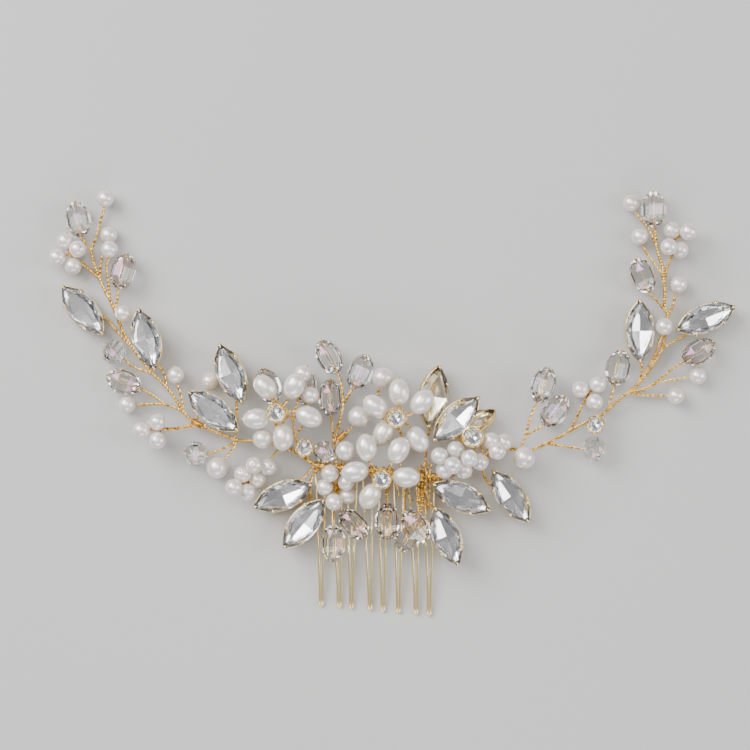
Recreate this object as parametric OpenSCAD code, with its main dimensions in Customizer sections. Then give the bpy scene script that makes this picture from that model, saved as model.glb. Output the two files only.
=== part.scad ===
// Bridal hair comb: a wire comb that carries a spray of pearls, glass beads and
// claw-set navette stones on twisted gold wire.
// The comb lies on its back: display side up (+Z), prongs towards -Y, vines along X.

/* [Beads] */
// Diameter of the small round pearls
pearl_d = 5; // [4.6:0.1:5]
// Diameter of the large round pearls
big_pearl_d = 6.4; // [5.8:0.1:6.4]
// Length of the rice pearls that make the petals
rice_l = 8; // [7.4:0.1:8]
// Diameter of the rice pearls
rice_d = 6; // [5.4:0.1:6]
// Length of the oval glass beads
oval_l = 10.5; // [9.6:0.1:10.5]
// Diameter of the oval glass beads
oval_d = 7.4; // [6.6:0.1:7.4]
// Diameter of the round glass beads
round_d = 7.2; // [6.6:0.1:7.2]
// Diameter of the hole through every bead
bead_bore = 0.7; // [0.66:0.02:0.74]

/* [Stones] */
// Length of a navette stone
navette_l = 18.5; // [17.5:0.1:18.5]
// Width of a navette stone
navette_w = 8.3; // [7.6:0.1:8.3]
// Diameter of the round rhinestones
rhinestone_d = 4.4; // [4:0.1:4.6]

/* [Wire] */
// Diameter of the single wire that runs through a bead
bead_wire_d = 0.58; // [0.5:0.02:0.6]
// Outside width of a twisted pair
twist_d = 0.9; // [0.7:0.05:0.95]
// Outside width of the stem bundle along the comb rail
bundle_d = 1.6; // [1.4:0.1:1.7]

/* [Comb] */
// Number of prongs
prong_count = 8; // [6:1:8]
// Distance from one prong to the next
prong_pitch = 4.5; // [4.2:0.1:4.6]
// Length of the prongs below the rail
prong_l = 41; // [38:0.5:41]
// Diameter of the prong wire
prong_wire_d = 0.74; // [0.7:0.02:0.9]
// Diameter of the rail
rail_d = 1.6; // [1.4:0.1:1.6]

/* [Hidden] */
GOLD = "goldenrod";
PEARL_WHITE = "ivory";
CLEAR = "lightcyan";

// Bead sizes, each [length along the hole, diameter]
PEARL = [pearl_d, pearl_d];
BIG_PEARL = [big_pearl_d, big_pearl_d];
MID_PEARL = [pearl_d + 0.8, pearl_d + 0.8];
RICE = [rice_l, rice_d];
OVAL = [oval_l, oval_d];
ROUND = [round_d * 0.92, round_d];
SMALL_ROUND = [round_d * 0.84, round_d * 0.92];
pearl_bands = 12;    // flat bands round a rice pearl
glass_bands = 5;     // rows of facets on a glass bead
tip_gap = 0.35;      // free length of wire between a stem's end and its bead
bead_tail = 0.6;     // bead wire that runs into the twisted stem
head_d = 0.8;        // folded-over wire at a bead's far end
stem_sides = 5;
smooth = 48;         // round everywhere else

// Navette stone and setting
girdle_t = 0.3;
crown_h = 1.7;
pavilion_h = 2.7;
setting_gap = 0.15;
setting_t = 0.4;
setting_depth = 3.4;
claw_w = 0.9;
claw_h = 2;
claw_x = 0.24;       // where the flank claws sit, as a share of the stone's length

// Rhinestone cup
cup_h = 2.4;
cup_wall = 0.3;
cup_gap = 0.12;

// Comb layout: the rail drops a little towards +X and the prongs hang along -Y
rail_centre = [-5.45, -19.5];
rail_drop = 0.09;    // fall of the rail for each millimetre of X
rail_z = 4.4;
prong_z = 3;
spine_z = 6.7;
prong_lean = [0, 0.8, -0.2, 0.8, 0, 0, 0.7, 0];
leg_gap = 3;         // between the two legs of a prong at the rail
leg_taper = 1.15;    // share of a prong's length at which its straight legs would cross
binding_w = 0.44;
binding_t = 0.4;
wrap_d = 2.1;

// ---- Where the beads sit ----
// Each entry is [size, centre, direction of the hole, points of its twig].
function aim(turn, lift = 0) = [cos(turn) * cos(lift), sin(turn) * cos(lift), sin(lift)];
function unit(v) = v / norm(v);
function bead(size, centre, turn, lift, twig) = [size, centre, aim(turn, lift), twig];
function cluster(size, hub, centres) = [for (c = centres) [size, c, unit(c - hub), [hub]]];
function bead_base(e) = e[1] - (e[0][0] / 2 + tip_gap) * e[2];

// Left vine, outer stretch
LEFT_TIP_PEARLS = [
    bead(PEARL, [-83.8, 59.7, 3.4], 80, 40, [[-87.9, 44.7, 3.4], [-86.4, 49, 2.8], [-85.3, 53.5, 1.6]]),
    bead(PEARL, [-82.9, 49.2, 2.6], 82, 0, [[-85.3, 37.4, 3.6], [-84.9, 42, 3], [-84.1, 44.6, 2.6]]),
    bead(PEARL, [-82.3, 44.8, 5.8], 80, 40, [[-82.4, 30.4, 3.6], [-83, 36, 3.4], [-83.4, 40, 3.2]]),
];
CLUSTER_A = cluster(PEARL, [-94.3, 43.8, 1], [
    [-95.4, 47.4, 3.8], [-91.4, 44.9, 6.2], [-97.5, 42.6, 5.2], [-93.1, 40.1, 3.8]]);
LEFT_TIP_OVALS = [
    bead(OVAL, [-91.6, 53.6, 4.2], 101, 0, [[-87.9, 44.7, 3.4], [-89.6, 46.8, 3.8]]),
];

// Left vine, inner stretch
LEFT_PEARLS = [
    bead(PEARL, [-78.3, 26.4, 6.3], 60, 40, [[-79.3, 22.8, 3.6]]),
    bead(PEARL, [-77.5, -0.1, 3], 180, 0, [[-61, -2.2, 4], [-66.2, -0.1, 3.6]]),
    bead(PEARL, [-63.3, 8.5, 4.4], 100, 0, [[-60.9, -2.4, 4], [-61.8, 2.7, 4.2]]),
    bead(PEARL, [-53.5, 6.7, 3], 80, 0, [[-57.5, -5.2, 4.3], [-55, 1, 3.4]]),
    bead(BIG_PEARL, [-51.2, -18.4, 3.6], 230, 0, [[-45.4, -10.6, 5.9], [-46.8, -13.2, 5]]),
];
CLUSTER_B = cluster(PEARL, [-67.6, -7.2, 4.2], [
    [-72.9, -7.4, 7.4], [-68.2, -5, 7.6], [-68.2, -10.4, 7.4], [-71, -7.1, 2.6]]);
LEFT_ROUNDS = [
    bead(ROUND, [-81.2, 15.2, 3.8], 142, 0, [[-70.5, 9.1, 3.7], [-74.9, 10.5, 3.6]]),
    bead(ROUND, [-57.6, -14.3, 4], 180, 0, [[-45.4, -10.6, 5.9], [-50.3, -13.2, 4.6]]),
];
LEFT_OVALS = [
    bead(OVAL, [-78.5, 38.5, 4.1], 74, 0, [[-80.9, 27.4, 3.6], [-80.2, 30.8, 3.8]]),
    bead(OVAL, [-78.3, 6.5, 3.9], 158, 0, [[-66.2, -0.1, 3.6], [-70, 2.6, 3.8]]),
];

// Centre: flowers, singles and clusters
flower_1 = [-33.5, -2.5, 9.2];
flower_2 = [0.6, -3.9, 9.2];
flower_3 = [-3.5, -21.2, 10.4];
PETALS_1 = [
    bead(RICE, [-36.9, 5, 12], 132, 0, [flower_1]),
    bead(RICE, [-28.6, 5.3, 13.5], 65, 18, [flower_1]),
    bead(RICE, [-24.4, -3.5, 12.2], -24, 0, [flower_1]),
    bead(RICE, [-31.8, -9.3, 12], -92, 0, [flower_1]),
    bead(RICE, [-39.4, -4, 12], 185, 0, [flower_1]),
];
PETALS_2 = [
    bead(RICE, [1.4, 3.5, 12.8], 92, 0, [flower_2]),
    bead(RICE, [-5.4, -0.5, 12.4], 142, 0, [flower_2]),
    bead(RICE, [7.9, 0.8, 13], 50, 0, [flower_2]),
    bead(RICE, [-3, -8.1, 9.2], 240, 0, [flower_2]),
    bead(RICE, [6.7, -9.9, 11.8], -58, 0, [flower_2]),
];
PETALS_3 = [
    bead(RICE, [-7.9, -12.2, 14.6], 100, 0, [flower_3]),
    bead(RICE, [1.2, -13, 14.4], 62, 0, [flower_3]),
    bead(RICE, [3.4, -20.7, 13.4], 0, 0, [flower_3]),
    bead(RICE, [-6.9, -26.1, 13.2], 240, -12, [flower_3]),
    bead(RICE, [-11.2, -19.1, 14.4], 188, 0, [flower_3]),
];
CENTRE_PEARLS = [
    bead(MID_PEARL, [-37.8, -9.8, 9.8], 150, 50, [[-34.6, -11.6, 6.4]]),
    bead(PEARL, [-26.2, 8.9, 9.6], 60, 10, [[-29.5, -4, 8.2], [-27.6, 1.5, 8.6]]),
    bead(PEARL, [-24, 2.7, 10.6], 75, 20, [[-29.5, -4, 8.2], [-25.4, -2.5, 8.6]]),
    bead(BIG_PEARL, [-3.2, 7.6, 7.4], 70, 50, [[1.7, -7.5, 6.8], [-3.6, -3.4, 6], [-5, 1, 5]]),
    bead(BIG_PEARL, [-10.1, -3.6, 7.6], 56, 0, [[-16.9, -11.6, 6.2], [-16, -10.2, 6.8]]),
    bead(MID_PEARL, [-13.9, -13.2, 11.8], 70, 40, [[-15.2, -18.4, 6.7]]),
    bead(PEARL, [27.7, -10.4, 11], 80, 50, [[26, -15.3, 6.6]]),
    bead(PEARL, [31.6, -10.9, 8.4], 60, 0, [[29, -14.3, 6.6]]),
    bead(PEARL, [29.3, -13.2, 14.8], 60, 60, [[28, -14.6, 6.6], [27.9, -14.9, 10]]),
    bead(PEARL, [24.6, -16.4, 11.2], -60, 60, [[23.5, -16.8, 6.7]]),
];
CLUSTER_C = concat(
    cluster(PEARL, [-42.2, -22.6, 0.95], [
        [-39.6, -21.8, 4.2], [-42.5, -25.4, 6.4], [-43.7, -20.1, 6.8], [-46.1, -23.8, 9.6]]),
    cluster(PEARL, [-38.4, -19, 1.2], [[-40.2, -17.4, 9.8], [-36.3, -18.1, 6]]));
CLUSTER_D = cluster(PEARL, [-16.6, -24, 5.2], [
    [-18.4, -19.7, 11.1], [-20, -23.8, 7.8], [-17.3, -28, 9.4], [-13.4, -26.4, 6.2], [-13.8, -22.3, 9.1]]);
CLUSTER_E = cluster(PEARL, [16.8, -16.3, 9], [
    [12.9, -14.6, 13], [17.6, -12.9, 11.2], [20, -18.8, 10.4],
    [14.4, -18.8, 10.3], [16.6, -17.2, 15.7], [21.4, -15.2, 15.5]]);
CENTRE_GLASS = [
    bead(SMALL_ROUND, [-19.9, -13.6, 9.8], 100, 50, [[-19.2, -18.2, 6.7]]),
    bead(OVAL, [-36.5, 5.3, 4.4], 110, 0, [[-34.6, -12, 6.4], [-34.2, -5, 4.4]]),
    bead(OVAL, [-25.7, 5.1, 4.1], 95, 0, [[-28.6, -9, 7.4], [-25, -4, 5]]),
    bead(SMALL_ROUND, [3.2, -39.6, 7.1], 240, 20, [[8.3, -27, 6], [7, -33, 5]]),
];
CENTRE_OVALS = [
    bead(OVAL, [-18.8, 13.7, 6.2], 119, 0, [[-17.3, -10.8, 6], [-14.7, -0.1, 8.8], [-15, 5, 7.6]]),
    bead(OVAL, [-18.4, 1.9, 5.8], 92, 0, [[-17.3, -10.8, 6], [-17.8, -7, 5]]),
    bead(OVAL, [-9.8, 9.4, 6.6], 66, 0, [[-14.7, -0.1, 8.8], [-13.6, 1.7, 7.8]]),
    bead(OVAL, [-17.6, -40, 7.6], -90, 0, [[-16.6, -24, 5.2], [-17.6, -30.5, 5.6]]),
    bead(OVAL, [-11.6, -34.5, 7.6], -47, 0, [[-16.6, -24, 5.2], [-16, -27.5, 5.4]]),
    bead(OVAL, [-2, -33.7, 7.6], -90, 0, [[-2, -19.8, 6.7], [-2, -24, 6.8]]),
    bead(OVAL, [6.2, -34.8, 12], -55, 0, [[3.4, -20.2, 6.7], [3, -26, 8.4]]),
];

// Right vine, inner stretch
RIGHT_PEARLS = [
    bead(BIG_PEARL, [37.4, -15.3, 9.3], -60, 60, []),
    bead(PEARL, [78, 22.5, 7], 75, 30, [[73.1, 9.4, 3.6], [75.3, 13.4, 4], [76.7, 17.6, 4.6]]),
    bead(PEARL, [88.3, 8.2, 3], 8, 0, [[76, 6.2, 3.4]]),
    bead(PEARL, [81.9, 2.5, 3], 0, 0, [[67.6, 3.3, 3.8], [74.3, 2.5, 3.3]]),
];
CLUSTER_F = cluster(PEARL, [56.5, 2.8, 1.2], [[54, 4.3, 3.8], [59.2, 5.8, 3.8], [58.2, 0.6, 4.4]]);
RIGHT_ROUNDS = [
    bead(ROUND, [58.1, -12.9, 4], 0, 0, [[43.9, -11.4, 5.4], [50, -12.3, 4.4]]),
];
RIGHT_OVALS = [
    bead(OVAL, [43.1, 5.6, 6.4], 71, 0, [[36.7, -12.9, 6.1], [38.7, -6.8, 5.6], [39.8, -3, 5.2]]),
    bead(OVAL, [46.6, -1.9, 3.9], 53, 0, [[37.9, -9.2, 5.8], [40.2, -7.9, 5.2]]),
    bead(OVAL, [65, 10.5, 4.2], 79, 0, [[62.1, -0.7, 4], [63, 2.2, 4.1]]),
    bead(OVAL, [88.4, 15.2, 4], 31, 0, [[76, 6.2, 3.4], [80, 9.6, 3.8]]),
];

// Right vine, outer stretch
RIGHT_TIP_PEARLS = [
    bead(PEARL, [69, 58.5, 2.6], 112, 0, [[76.2, 46.1, 3.6], [74, 50.8, 3]]),
    bead(PEARL, [71.4, 48.7, 3], 105, 0, [[78, 37.4, 3.6], [74.8, 42, 3.4]]),
    bead(PEARL, [82.7, 34.8, 3], 75, 0, [[79.7, 26, 3.6], [81, 28.8, 3.2]]),
];
CLUSTER_G = cluster(PEARL, [81.6, 48, 1], [
    [80.6, 50.5, 3.8], [85.1, 49.9, 6.3], [79.3, 45.5, 7], [83.1, 44.8, 3.2]]);
RIGHT_TIP_OVALS = [
    bead(OVAL, [75.3, 56.5, 4.2], 92, 0, []),
    bead(OVAL, [72.1, 37.4, 4], 112, 0, [[79.7, 26, 3.6], [76.7, 29.6, 3.8]]),
];

// Glass beads that turn on their wires, in node order
TURNING = concat(LEFT_TIP_OVALS, LEFT_OVALS, CENTRE_OVALS, RIGHT_OVALS, RIGHT_TIP_OVALS);

// ---- Where the stones sit ----
// Each entry is [centre of the girdle, [roll, pitch, turn], points of its stem, size if not 1].
LEFT_NAVETTES = [
    [[-90.2, 27.3, 4.8], [0, 0, 130],
     [[-77.2, 17.5, 3.6], [-81.2, 22.1, 2.4], [-83.2, 24.4, 1.4], [-87, 26.8, 1.15]]],
    [[-71.4, 18.8, 8.1], [0, 0, 104.5], [[-65.8, 4.7, 3.8], [-66.8, 9, 4], [-70.5, 15.5, 4.45]]],
    [[-52, -1.9, 9.7], [0, 0, 142], [[-55.2, -6.5, 4.6], [-53.5, -3.5, 6.05]]],
    [[-47.1, 8.9, 7.8], [0, 0, 111], [[-46.2, -10, 5.9], [-45.4, -4.5, 5], [-46, 3, 4.4], [-46.8, 7, 4.15]]],
];
CENTRE_NAVETTES = [
    [[-32.1, -26.4, 6.6], [0, 0, 21.5],
     [[-23, -17.5, 6.7], [-25.5, -20.5, 4.6], [-29, -23.8, 3.1], [-31.5, -25.4, 2.95]]],
    [[-26, -34.4, 7.4], [0, 0, 50],
     [[-21.5, -17.4, 6.7], [-24, -22, 5], [-24.3, -27, 4], [-25, -31.5, 3.75]]],
    [[11.7, 2.2, 5.4], [14, 0, 80], [[9, -20.8, 6.7], [9.5, -12, 3.6], [11, -3, 2], [11.6, 1, 1.9]]],
    [[17.8, -4.1, 11.2], [0, 0, 44], [[21.5, -17.8, 6.7], [19.5, -11, 6.6], [17.6, -5.5, 7.55]]],
    [[19.4, -26.7, 8.7], [0, 0, 155], [[12, -21, 6.7], [14.5, -23.5, 5.6], [17.5, -25.6, 5.05]]],
    [[15.1, -38, 8], [0, 0, 112], [[8.3, -20.7, 6.7], [8, -27, 5.7], [12.4, -31.5, 4.8], [14.6, -36, 4.35]]],
    [[22.6, -4.9, 4.9], [-50, 0, 28],
     [[26, -15.4, 6.6], [25.4, -11.8, 3.4], [24.4, -8.8, 1.6], [23.72, -7, 2.85]], 0.8],
    [[33.8, -26.7, 5.6], [0, 0, 125],
     [[25, -16.2, 6.6], [25.6, -19.5, 5], [27.4, -22.8, 2.7], [31, -25.2, 1.95]]],
];
RIGHT_NAVETTES = [
    [[71.1, 21.2, 6.2], [0, 0, 90], [[70.8, 5.8, 3.7], [72.1, 9.7, 3], [71.4, 14, 2.6], [71.2, 18, 2.55]]],
    [[90.3, 24.9, 5.3], [0, 0, 22],
     [[77.7, 15.9, 3.6], [80.5, 17.8, 3.4], [85.6, 20.6, 1.8], [90, 24.3, 1.65]]],
];
// Rhinestones: [centre of the girdle, foot of the cup's stem, size if not 1]
CENTRE_RHINESTONES = [
    [flower_1 + [0, 0, 7.4], flower_1],
    [flower_2 + [0, 0, 7.4], flower_2],
    [flower_3 + [0, 0, 8], flower_3],
    [[-25.8, -12.4, 10.6], [-24.6, -16.2, 6.7]],
    [[22.5, -9.2, 14.6], [24.2, -16.4, 6.7], 1.15],
];
RIGHT_RHINESTONES = [[[58.1, -5.8, 7.6], [57.2, -4.7, 4.3]]];

// ---- Stem routes ----
// The stems are cut by a short gap at four places, where the wire is bent to shape:
// (-44, -10.5), (-81.9, 29.3), (34.6, -12.9) and (79.15, 24.35).
CENTRE_BUNDLE = [
    [-23, -17.5, spine_z], [-14, -18.8, spine_z], [-5.5, -19.5, spine_z], [5, -20.4, spine_z],
    [12, -21, spine_z], [20, -18.6, spine_z]];
CENTRE_BRANCHES = [
    [[-43.5, -10.5, 6], [-40.2, -10.5, 6.2], [-35, -11.5, 6.4], [-30, -13, 6.6], [-22.5, -17.6, spine_z]],
    [[19.5, -18.7, spine_z], [26, -15.4, 6.6], [30.6, -13.8, 6.5], [34.1, -12.9, 6.3]],
    [[-23, -17.5, spine_z], [-27.5, -12.9, 7], [-28.6, -9, 7.4], [-29.5, -4, 8.2], flower_1],
    [[1.5, -20, spine_z], [2.2, -12, 6.4], [1.7, -7.5, 6.8], flower_2],
    [[-3.5, -19.7, spine_z], flower_3],
    [[-16.5, -18.5, spine_z], [-17, -14, 6], [-17.3, -10.8, 6]],
    [[-16.5, -18.5, spine_z], [-16.6, -21, 5.8], [-16.6, -24, 5.2]],
    [[-33, -12.4, 6.4], [-35.3, -15.2, 3.4], [-38.4, -19, 1.2], [-42.2, -22.6, 0.95]],
    [[18.5, -19, spine_z], [17.8, -17.6, 7.8], [16.8, -16.3, 9]],
];
LEFT_MAIN = [
    [-44.5, -10.5, 6], [-47, -9.8, 5.7], [-51.7, -7.9, 5.1], [-55.2, -6.5, 4.6], [-59, -4.5, 4.2],
    [-61, -2.2, 4], [-65.3, 4.2, 3.8], [-70.2, 9.1, 3.7], [-73.4, 12.9, 3.6], [-77.7, 19.2, 3.6],
    [-81.2, 27.7, 3.6], [-81.6, 28.7, 3.6]];
LEFT_BRANCHES = [LEFT_MAIN, [[-57.5, -6, 4.4], [-63.3, -7, 4.2], [-67.6, -7.2, 4.2]]];
LEFT_TIP_MAIN = [
    [-82.2, 29.9, 3.6], [-83.6, 32.5, 3.6], [-85.5, 36.8, 3.6], [-87.3, 41.8, 3.5], [-87.9, 44.7, 3.4]];
LEFT_TIP_BRANCHES = [LEFT_TIP_MAIN, [[-85.5, 36.8, 3.6], [-88.5, 39.2, 1.6], [-94.3, 43.8, 1]]];
RIGHT_MAIN = [
    [35.1, -12.9, 6.3], [39.6, -13.2, 5.9], [43.9, -11.4, 5.4], [48, -9.4, 5], [51.4, -7.4, 4.7],
    [54.9, -5.6, 4.4], [59.8, -3.4, 4.2], [62.1, -1.6, 4], [64.4, 0.4, 3.9], [67.6, 3.3, 3.8],
    [70.8, 5.8, 3.7], [74.6, 10.7, 3.6], [77.7, 15.9, 3.6], [78.6, 20, 3.6], [79.1, 23.9, 3.6]];
RIGHT_BRANCHES = [
    RIGHT_MAIN,
    [[67.6, 3.3, 3.8], [72.5, 4.2, 3.6], [76, 6.2, 3.4]],
    [[51.4, -7.4, 4.7], [53.8, -2.2, 3.2], [56.5, 2.8, 1.2]],
    [[36.2, -12.9, 6.2], [36.5, -13.8, 6.2]],
];
RIGHT_TIP_MAIN = [
    [79.2, 24.8, 3.6], [79.7, 26, 3.6], [78.5, 29.3, 3.6], [78.6, 33.4, 3.6], [78, 37.4, 3.6],
    [78, 39.7, 3.6], [77, 42.6, 3.6], [76.2, 46.1, 3.6], [75.5, 50.9, 4.2]];
RIGHT_TIP_BRANCHES = [
    RIGHT_TIP_MAIN,
    [[78.4, 35.5, 3.6], [79.4, 39.7, 2.4], [80.8, 43, 1.2], [81.6, 48, 1]],
];

// Wire coils wound round a straight stretch of stem: [from, to]
CENTRE_WRAPS = [[[-13.9, -8.1, 7.25], [-16, -10.2, 6.85]], [[8.17, -23.3, 6.3], [8.03, -26.6, 5.75]]];
LEFT_WRAPS = [[[-55.6, -6.3, 4.6], [-58.6, -4.7, 4.25]]];

// ---- Small shapes ----
module place(e) {
    v = e[2];
    translate(e[1]) rotate([0, acos(v[2]), atan2(v[1], v[0])]) children();
}

// Solid of revolution with a through hole; bands sets how many flat bands the profile has
module revolved_bead(size, bands) {
    limit = acos((bead_bore / 2 + 0.5) / (size[1] / 2));
    curve = [for (i = [0 : bands]) let (a = -limit + 2 * limit * i / bands)
        [size[1] / 2 * cos(a), size[0] / 2 * sin(a) / sin(limit)]];
    rotate_extrude($fn = smooth)
        polygon(concat([[bead_bore / 2, -size[0] / 2]], curve, [[bead_bore / 2, size[0] / 2]]));
}

module round_pearl(size) difference() {
    sphere(d = size[1], $fn = smooth);
    cylinder(d = bead_bore, h = size[1] + 1, center = true, $fn = smooth);
}

module pearls(entries) color(PEARL_WHITE)
    for (e = entries) place(e) {
        if (e[0] == RICE) revolved_bead(e[0], pearl_bands);
        else round_pearl(e[0]);
    }

module glass_beads(entries) color(CLEAR)
    for (e = entries) place(e) revolved_bead(e[0], glass_bands);

// The single wire through each bead, bent over at its far end
module bead_wires(entries) color(GOLD)
    for (e = entries) place(e) {
        half = e[0][0] / 2;
        translate([0, 0, -half - tip_gap - bead_tail])
            cylinder(d = bead_wire_d, h = 2 * half + 2 * tip_gap + bead_tail, $fn = smooth);
        translate([0, 0, half + tip_gap]) sphere(d = head_d, $fn = smooth);
    }

// Polygonal wire through a list of points: one prism for each stretch, a little long so that they join,
// and each turned and sized a little differently so that no two faces coincide
module stretch(a, b, d, sides, k) {
    v = unit(b - a);
    over = 0.16 * d;
    translate(a - over * v) rotate([0, acos(v[2]), atan2(v[1], v[0])]) rotate(13 * k + 7)
        hull() cylinder(d = d * (1 + 0.03 * (k % 2)), h = norm(b - a) + 2 * over, $fn = sides);
}
module strand(path, d, sides = stem_sides)
    for (i = [1 : max(1, len(path) - 1)])
        if (len(path) > i) stretch(path[i - 1], path[i], d, sides, i);

module stems(branches, beads, navettes, rhinestones = []) color(GOLD) {
    for (b = branches) strand(b, twist_d);
    for (e = beads) strand(concat(e[3], [bead_base(e)]), twist_d);
    for (n = navettes) strand(n[2], twist_d);
    for (r = rhinestones) strand([r[1], r[0] - [0, 0, (cup_h + 0.1) * rhinestone_size(r)]], twist_d);
}

// Outline of a stone pointed at both ends: two equal arcs
function arc_r(l, w) = (l * l + w * w) / (4 * w);
function arc_side(l, w, n, s) = let (r = arc_r(l, w), half = asin(l / 2 / r))
    [for (i = [0 : n - 1]) let (a = half - 2 * half * i / n) [s * r * sin(a), s * (r * cos(a) - r + w / 2)]];
function pointed_outline(l, w, n) = concat(arc_side(l, w, n, 1), arc_side(l, w, n, -1));
module pointed_plate(l, w) intersection() {
    r = arc_r(l, w);
    translate([0, w / 2 - r]) circle(r = r, $fn = smooth);
    translate([0, r - w / 2]) circle(r = r, $fn = smooth);
}

module navette_stone(l, w) hull() {
    translate([0, 0, -girdle_t]) linear_extrude(girdle_t) polygon(pointed_outline(l, w, 8));
    translate([0, 0, crown_h - 0.05]) linear_extrude(0.05) polygon(pointed_outline(l * 0.66, w * 0.55, 4));
    translate([0, 0, -pavilion_h]) linear_extrude(0.05) polygon(pointed_outline(l * 0.4, 0.8, 2));
}

function half_width(l, w, x) = sqrt(pow(arc_r(l, w), 2) - x * x) - arc_r(l, w) + w / 2;

// Cup under the stone, with a claw at each point and two on each flank
module navette_setting(l, w) {
    grow = 2 * (setting_gap + setting_t);
    translate([0, 0, -setting_depth]) difference() {
        linear_extrude(setting_depth - 0.7) pointed_plate(l + 2 * grow, w + grow);
        translate([0, 0, setting_t])
            linear_extrude(setting_depth) pointed_plate(l + 4 * setting_gap, w + 2 * setting_gap);
    }
    for (s = [-1, 1]) {
        translate([s * (l / 2 + setting_gap * 2 + 0.35), 0, -0.4])
            cube([0.7, claw_w * 0.8, claw_h], center = true);
        for (x = [-claw_x, claw_x] * l)
            translate([x, s * (half_width(l, w, x) + setting_gap + 0.32), -0.3])
                cube([claw_w, 0.5, claw_h], center = true);
    }
}

function navette_size(n) = len(n) > 3 ? n[3] : 1;
module navette_stones(list) color(CLEAR)
    for (n = list) translate(n[0]) rotate(n[1]) scale(navette_size(n)) navette_stone(navette_l, navette_w);
module navette_settings(list) color(GOLD)
    for (n = list) translate(n[0]) rotate(n[1]) scale(navette_size(n)) navette_setting(navette_l, navette_w);

// Round stone, and its cup with six claws
function rhinestone_size(s) = len(s) > 2 ? s[2] : 1;
module rhinestones(list) color(CLEAR)
    for (s = list) translate(s[0]) scale(rhinestone_size(s)) rotate_extrude($fn = smooth)
        polygon([[0, -1.8], [rhinestone_d / 2, -0.15], [rhinestone_d / 2, 0.1],
                 [rhinestone_d * 0.3, 0.9], [0, 0.9]]);
module claw_cups(list) color(GOLD)
    for (s = list) translate(s[0]) scale(rhinestone_size(s)) {
        r = rhinestone_d / 2 + cup_gap;
        rotate_extrude($fn = smooth)
            polygon([[0, -cup_h], [r + cup_wall, -cup_h], [r + cup_wall, -0.3], [r, -0.3],
                     [r, -cup_h + cup_wall], [0, -cup_h + cup_wall]]);
        for (a = [30 : 60 : 330])
            rotate(a) translate([r + 0.28, 0, -0.5]) cube([0.46, 0.6, 1.9], center = true);
    }

module wraps(list) color(GOLD)
    for (w = list) {
        v = unit(w[1] - w[0]);
        translate(w[0]) rotate([0, acos(v[2]), atan2(v[1], v[0])]) difference() {
            cylinder(d = wrap_d, h = norm(w[1] - w[0]), $fn = smooth);
            translate([0, 0, -1]) cylinder(d = twist_d + 0.35, h = norm(w[1] - w[0]) + 2, $fn = smooth);
        }
    }

// ---- Comb ----
function prong_x(i) = rail_centre[0] + (i - (prong_count - 1) / 2) * prong_pitch;
function rail_y(x) = rail_centre[1] - rail_drop * (x - rail_centre[0]);
rail_angle = atan(rail_drop);
// Half the gap between a prong's legs, and the wire's height, at a share t of the prong's length
tip_r = prong_wire_d / 2 + 0.04;
function leg_half(t) = max(tip_r, leg_gap / 2 * (1 - t / leg_taper));
leg_meet = leg_taper * (1 - 2 * tip_r / leg_gap);
function prong_rise(t) = prong_z + 0.9 * t - (prong_z + 0.9 - prong_wire_d / 2) * pow(t, 3);
tip_t = 1 - (tip_r + prong_wire_d / 2) / prong_l;
function leg_point(i, s, t) = let (x = prong_x(i))
    [x + s * leg_half(t) + prong_lean[i] * t, rail_y(x) - prong_l * t, prong_rise(t)];
function prong_tip(i) = let (x = prong_x(i) + prong_lean[i], y = rail_y(prong_x(i)) - prong_l * tip_t)
    [for (a = [225 : 45 : 315]) [x + tip_r * cos(a), y + tip_r * sin(a), prong_rise(1)]];
function return_bend(i) = let (r = (prong_pitch - leg_gap) / 2, x = prong_x(i) + prong_pitch / 2)
    [for (a = [150 : -30 : 30]) [x + r * cos(a), rail_y(x) + r * sin(a), prong_z]];
function prong_path(i) = concat(
    [for (t = [0, 0.25, 0.5, leg_meet, tip_t]) leg_point(i, -1, t)], prong_tip(i),
    [for (t = [tip_t, leg_meet, 0.5, 0.25, 0]) leg_point(i, 1, t)],
    i < prong_count - 1 ? return_bend(i) : []);

// One closed tube swept along a path that never runs straight up
function heading(path, i) = unit(path[min(i + 1, len(path) - 1)] - path[max(i - 1, 0)]);
function ring(path, i, r, sides) =
    let (v = heading(path, i), side = unit(cross(v, [0, 0, 1])), up = cross(side, v))
    [for (k = [0 : sides - 1]) path[i] + r * (cos(360 * k / sides) * side + sin(360 * k / sides) * up)];
module swept_wire(path, d, sides) {
    n = len(path);
    polyhedron(
        points = [for (i = [0 : n - 1]) each ring(path, i, d / 2, sides)],
        faces = concat(
            [[for (k = [0 : sides - 1]) k]],
            [for (i = [0 : n - 2]) for (k = [0 : sides - 1]) let (m = (k + 1) % sides)
                [i * sides + k, (i + 1) * sides + k, (i + 1) * sides + m, i * sides + m]],
            [[for (k = [sides - 1 : -1 : 0]) (n - 1) * sides + k]]));
}

module comb_wire() color(GOLD)
    swept_wire([for (i = [0 : prong_count - 1]) each prong_path(i)], prong_wire_d, 8);

module comb_rail() color(GOLD)
    translate([rail_centre[0], rail_centre[1], rail_z]) rotate([0, 90, -rail_angle])
        cylinder(d = rail_d, h = prong_count * prong_pitch + 1, center = true, $fn = smooth);

// Flat loops of binding wire round rail, prong bends and stem bundle
module rail_binding() color(GOLD)
    for (i = [0 : prong_count - 2]) {
        x = prong_x(i) + prong_pitch / 2;
        translate([x, rail_y(x), 0]) rotate([90, 0, 90 - rail_angle])
            linear_extrude(binding_w, center = true) difference() {
                binding_outline(rail_d / 2 + 0.55 + binding_t);
                binding_outline(rail_d / 2 + 0.55);
            }
    }
module binding_outline(r) {
    low = prong_z + 0.3;
    for (z = [low, spine_z]) translate([0, z]) circle(r = r, $fn = smooth);
    translate([-r, low]) square([2 * r, spine_z - low]);
}

// ---- Nodes ----
TURNING_NAMES = [for (i = [1 : len(TURNING)]) str("glass_oval_", i)];

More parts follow.
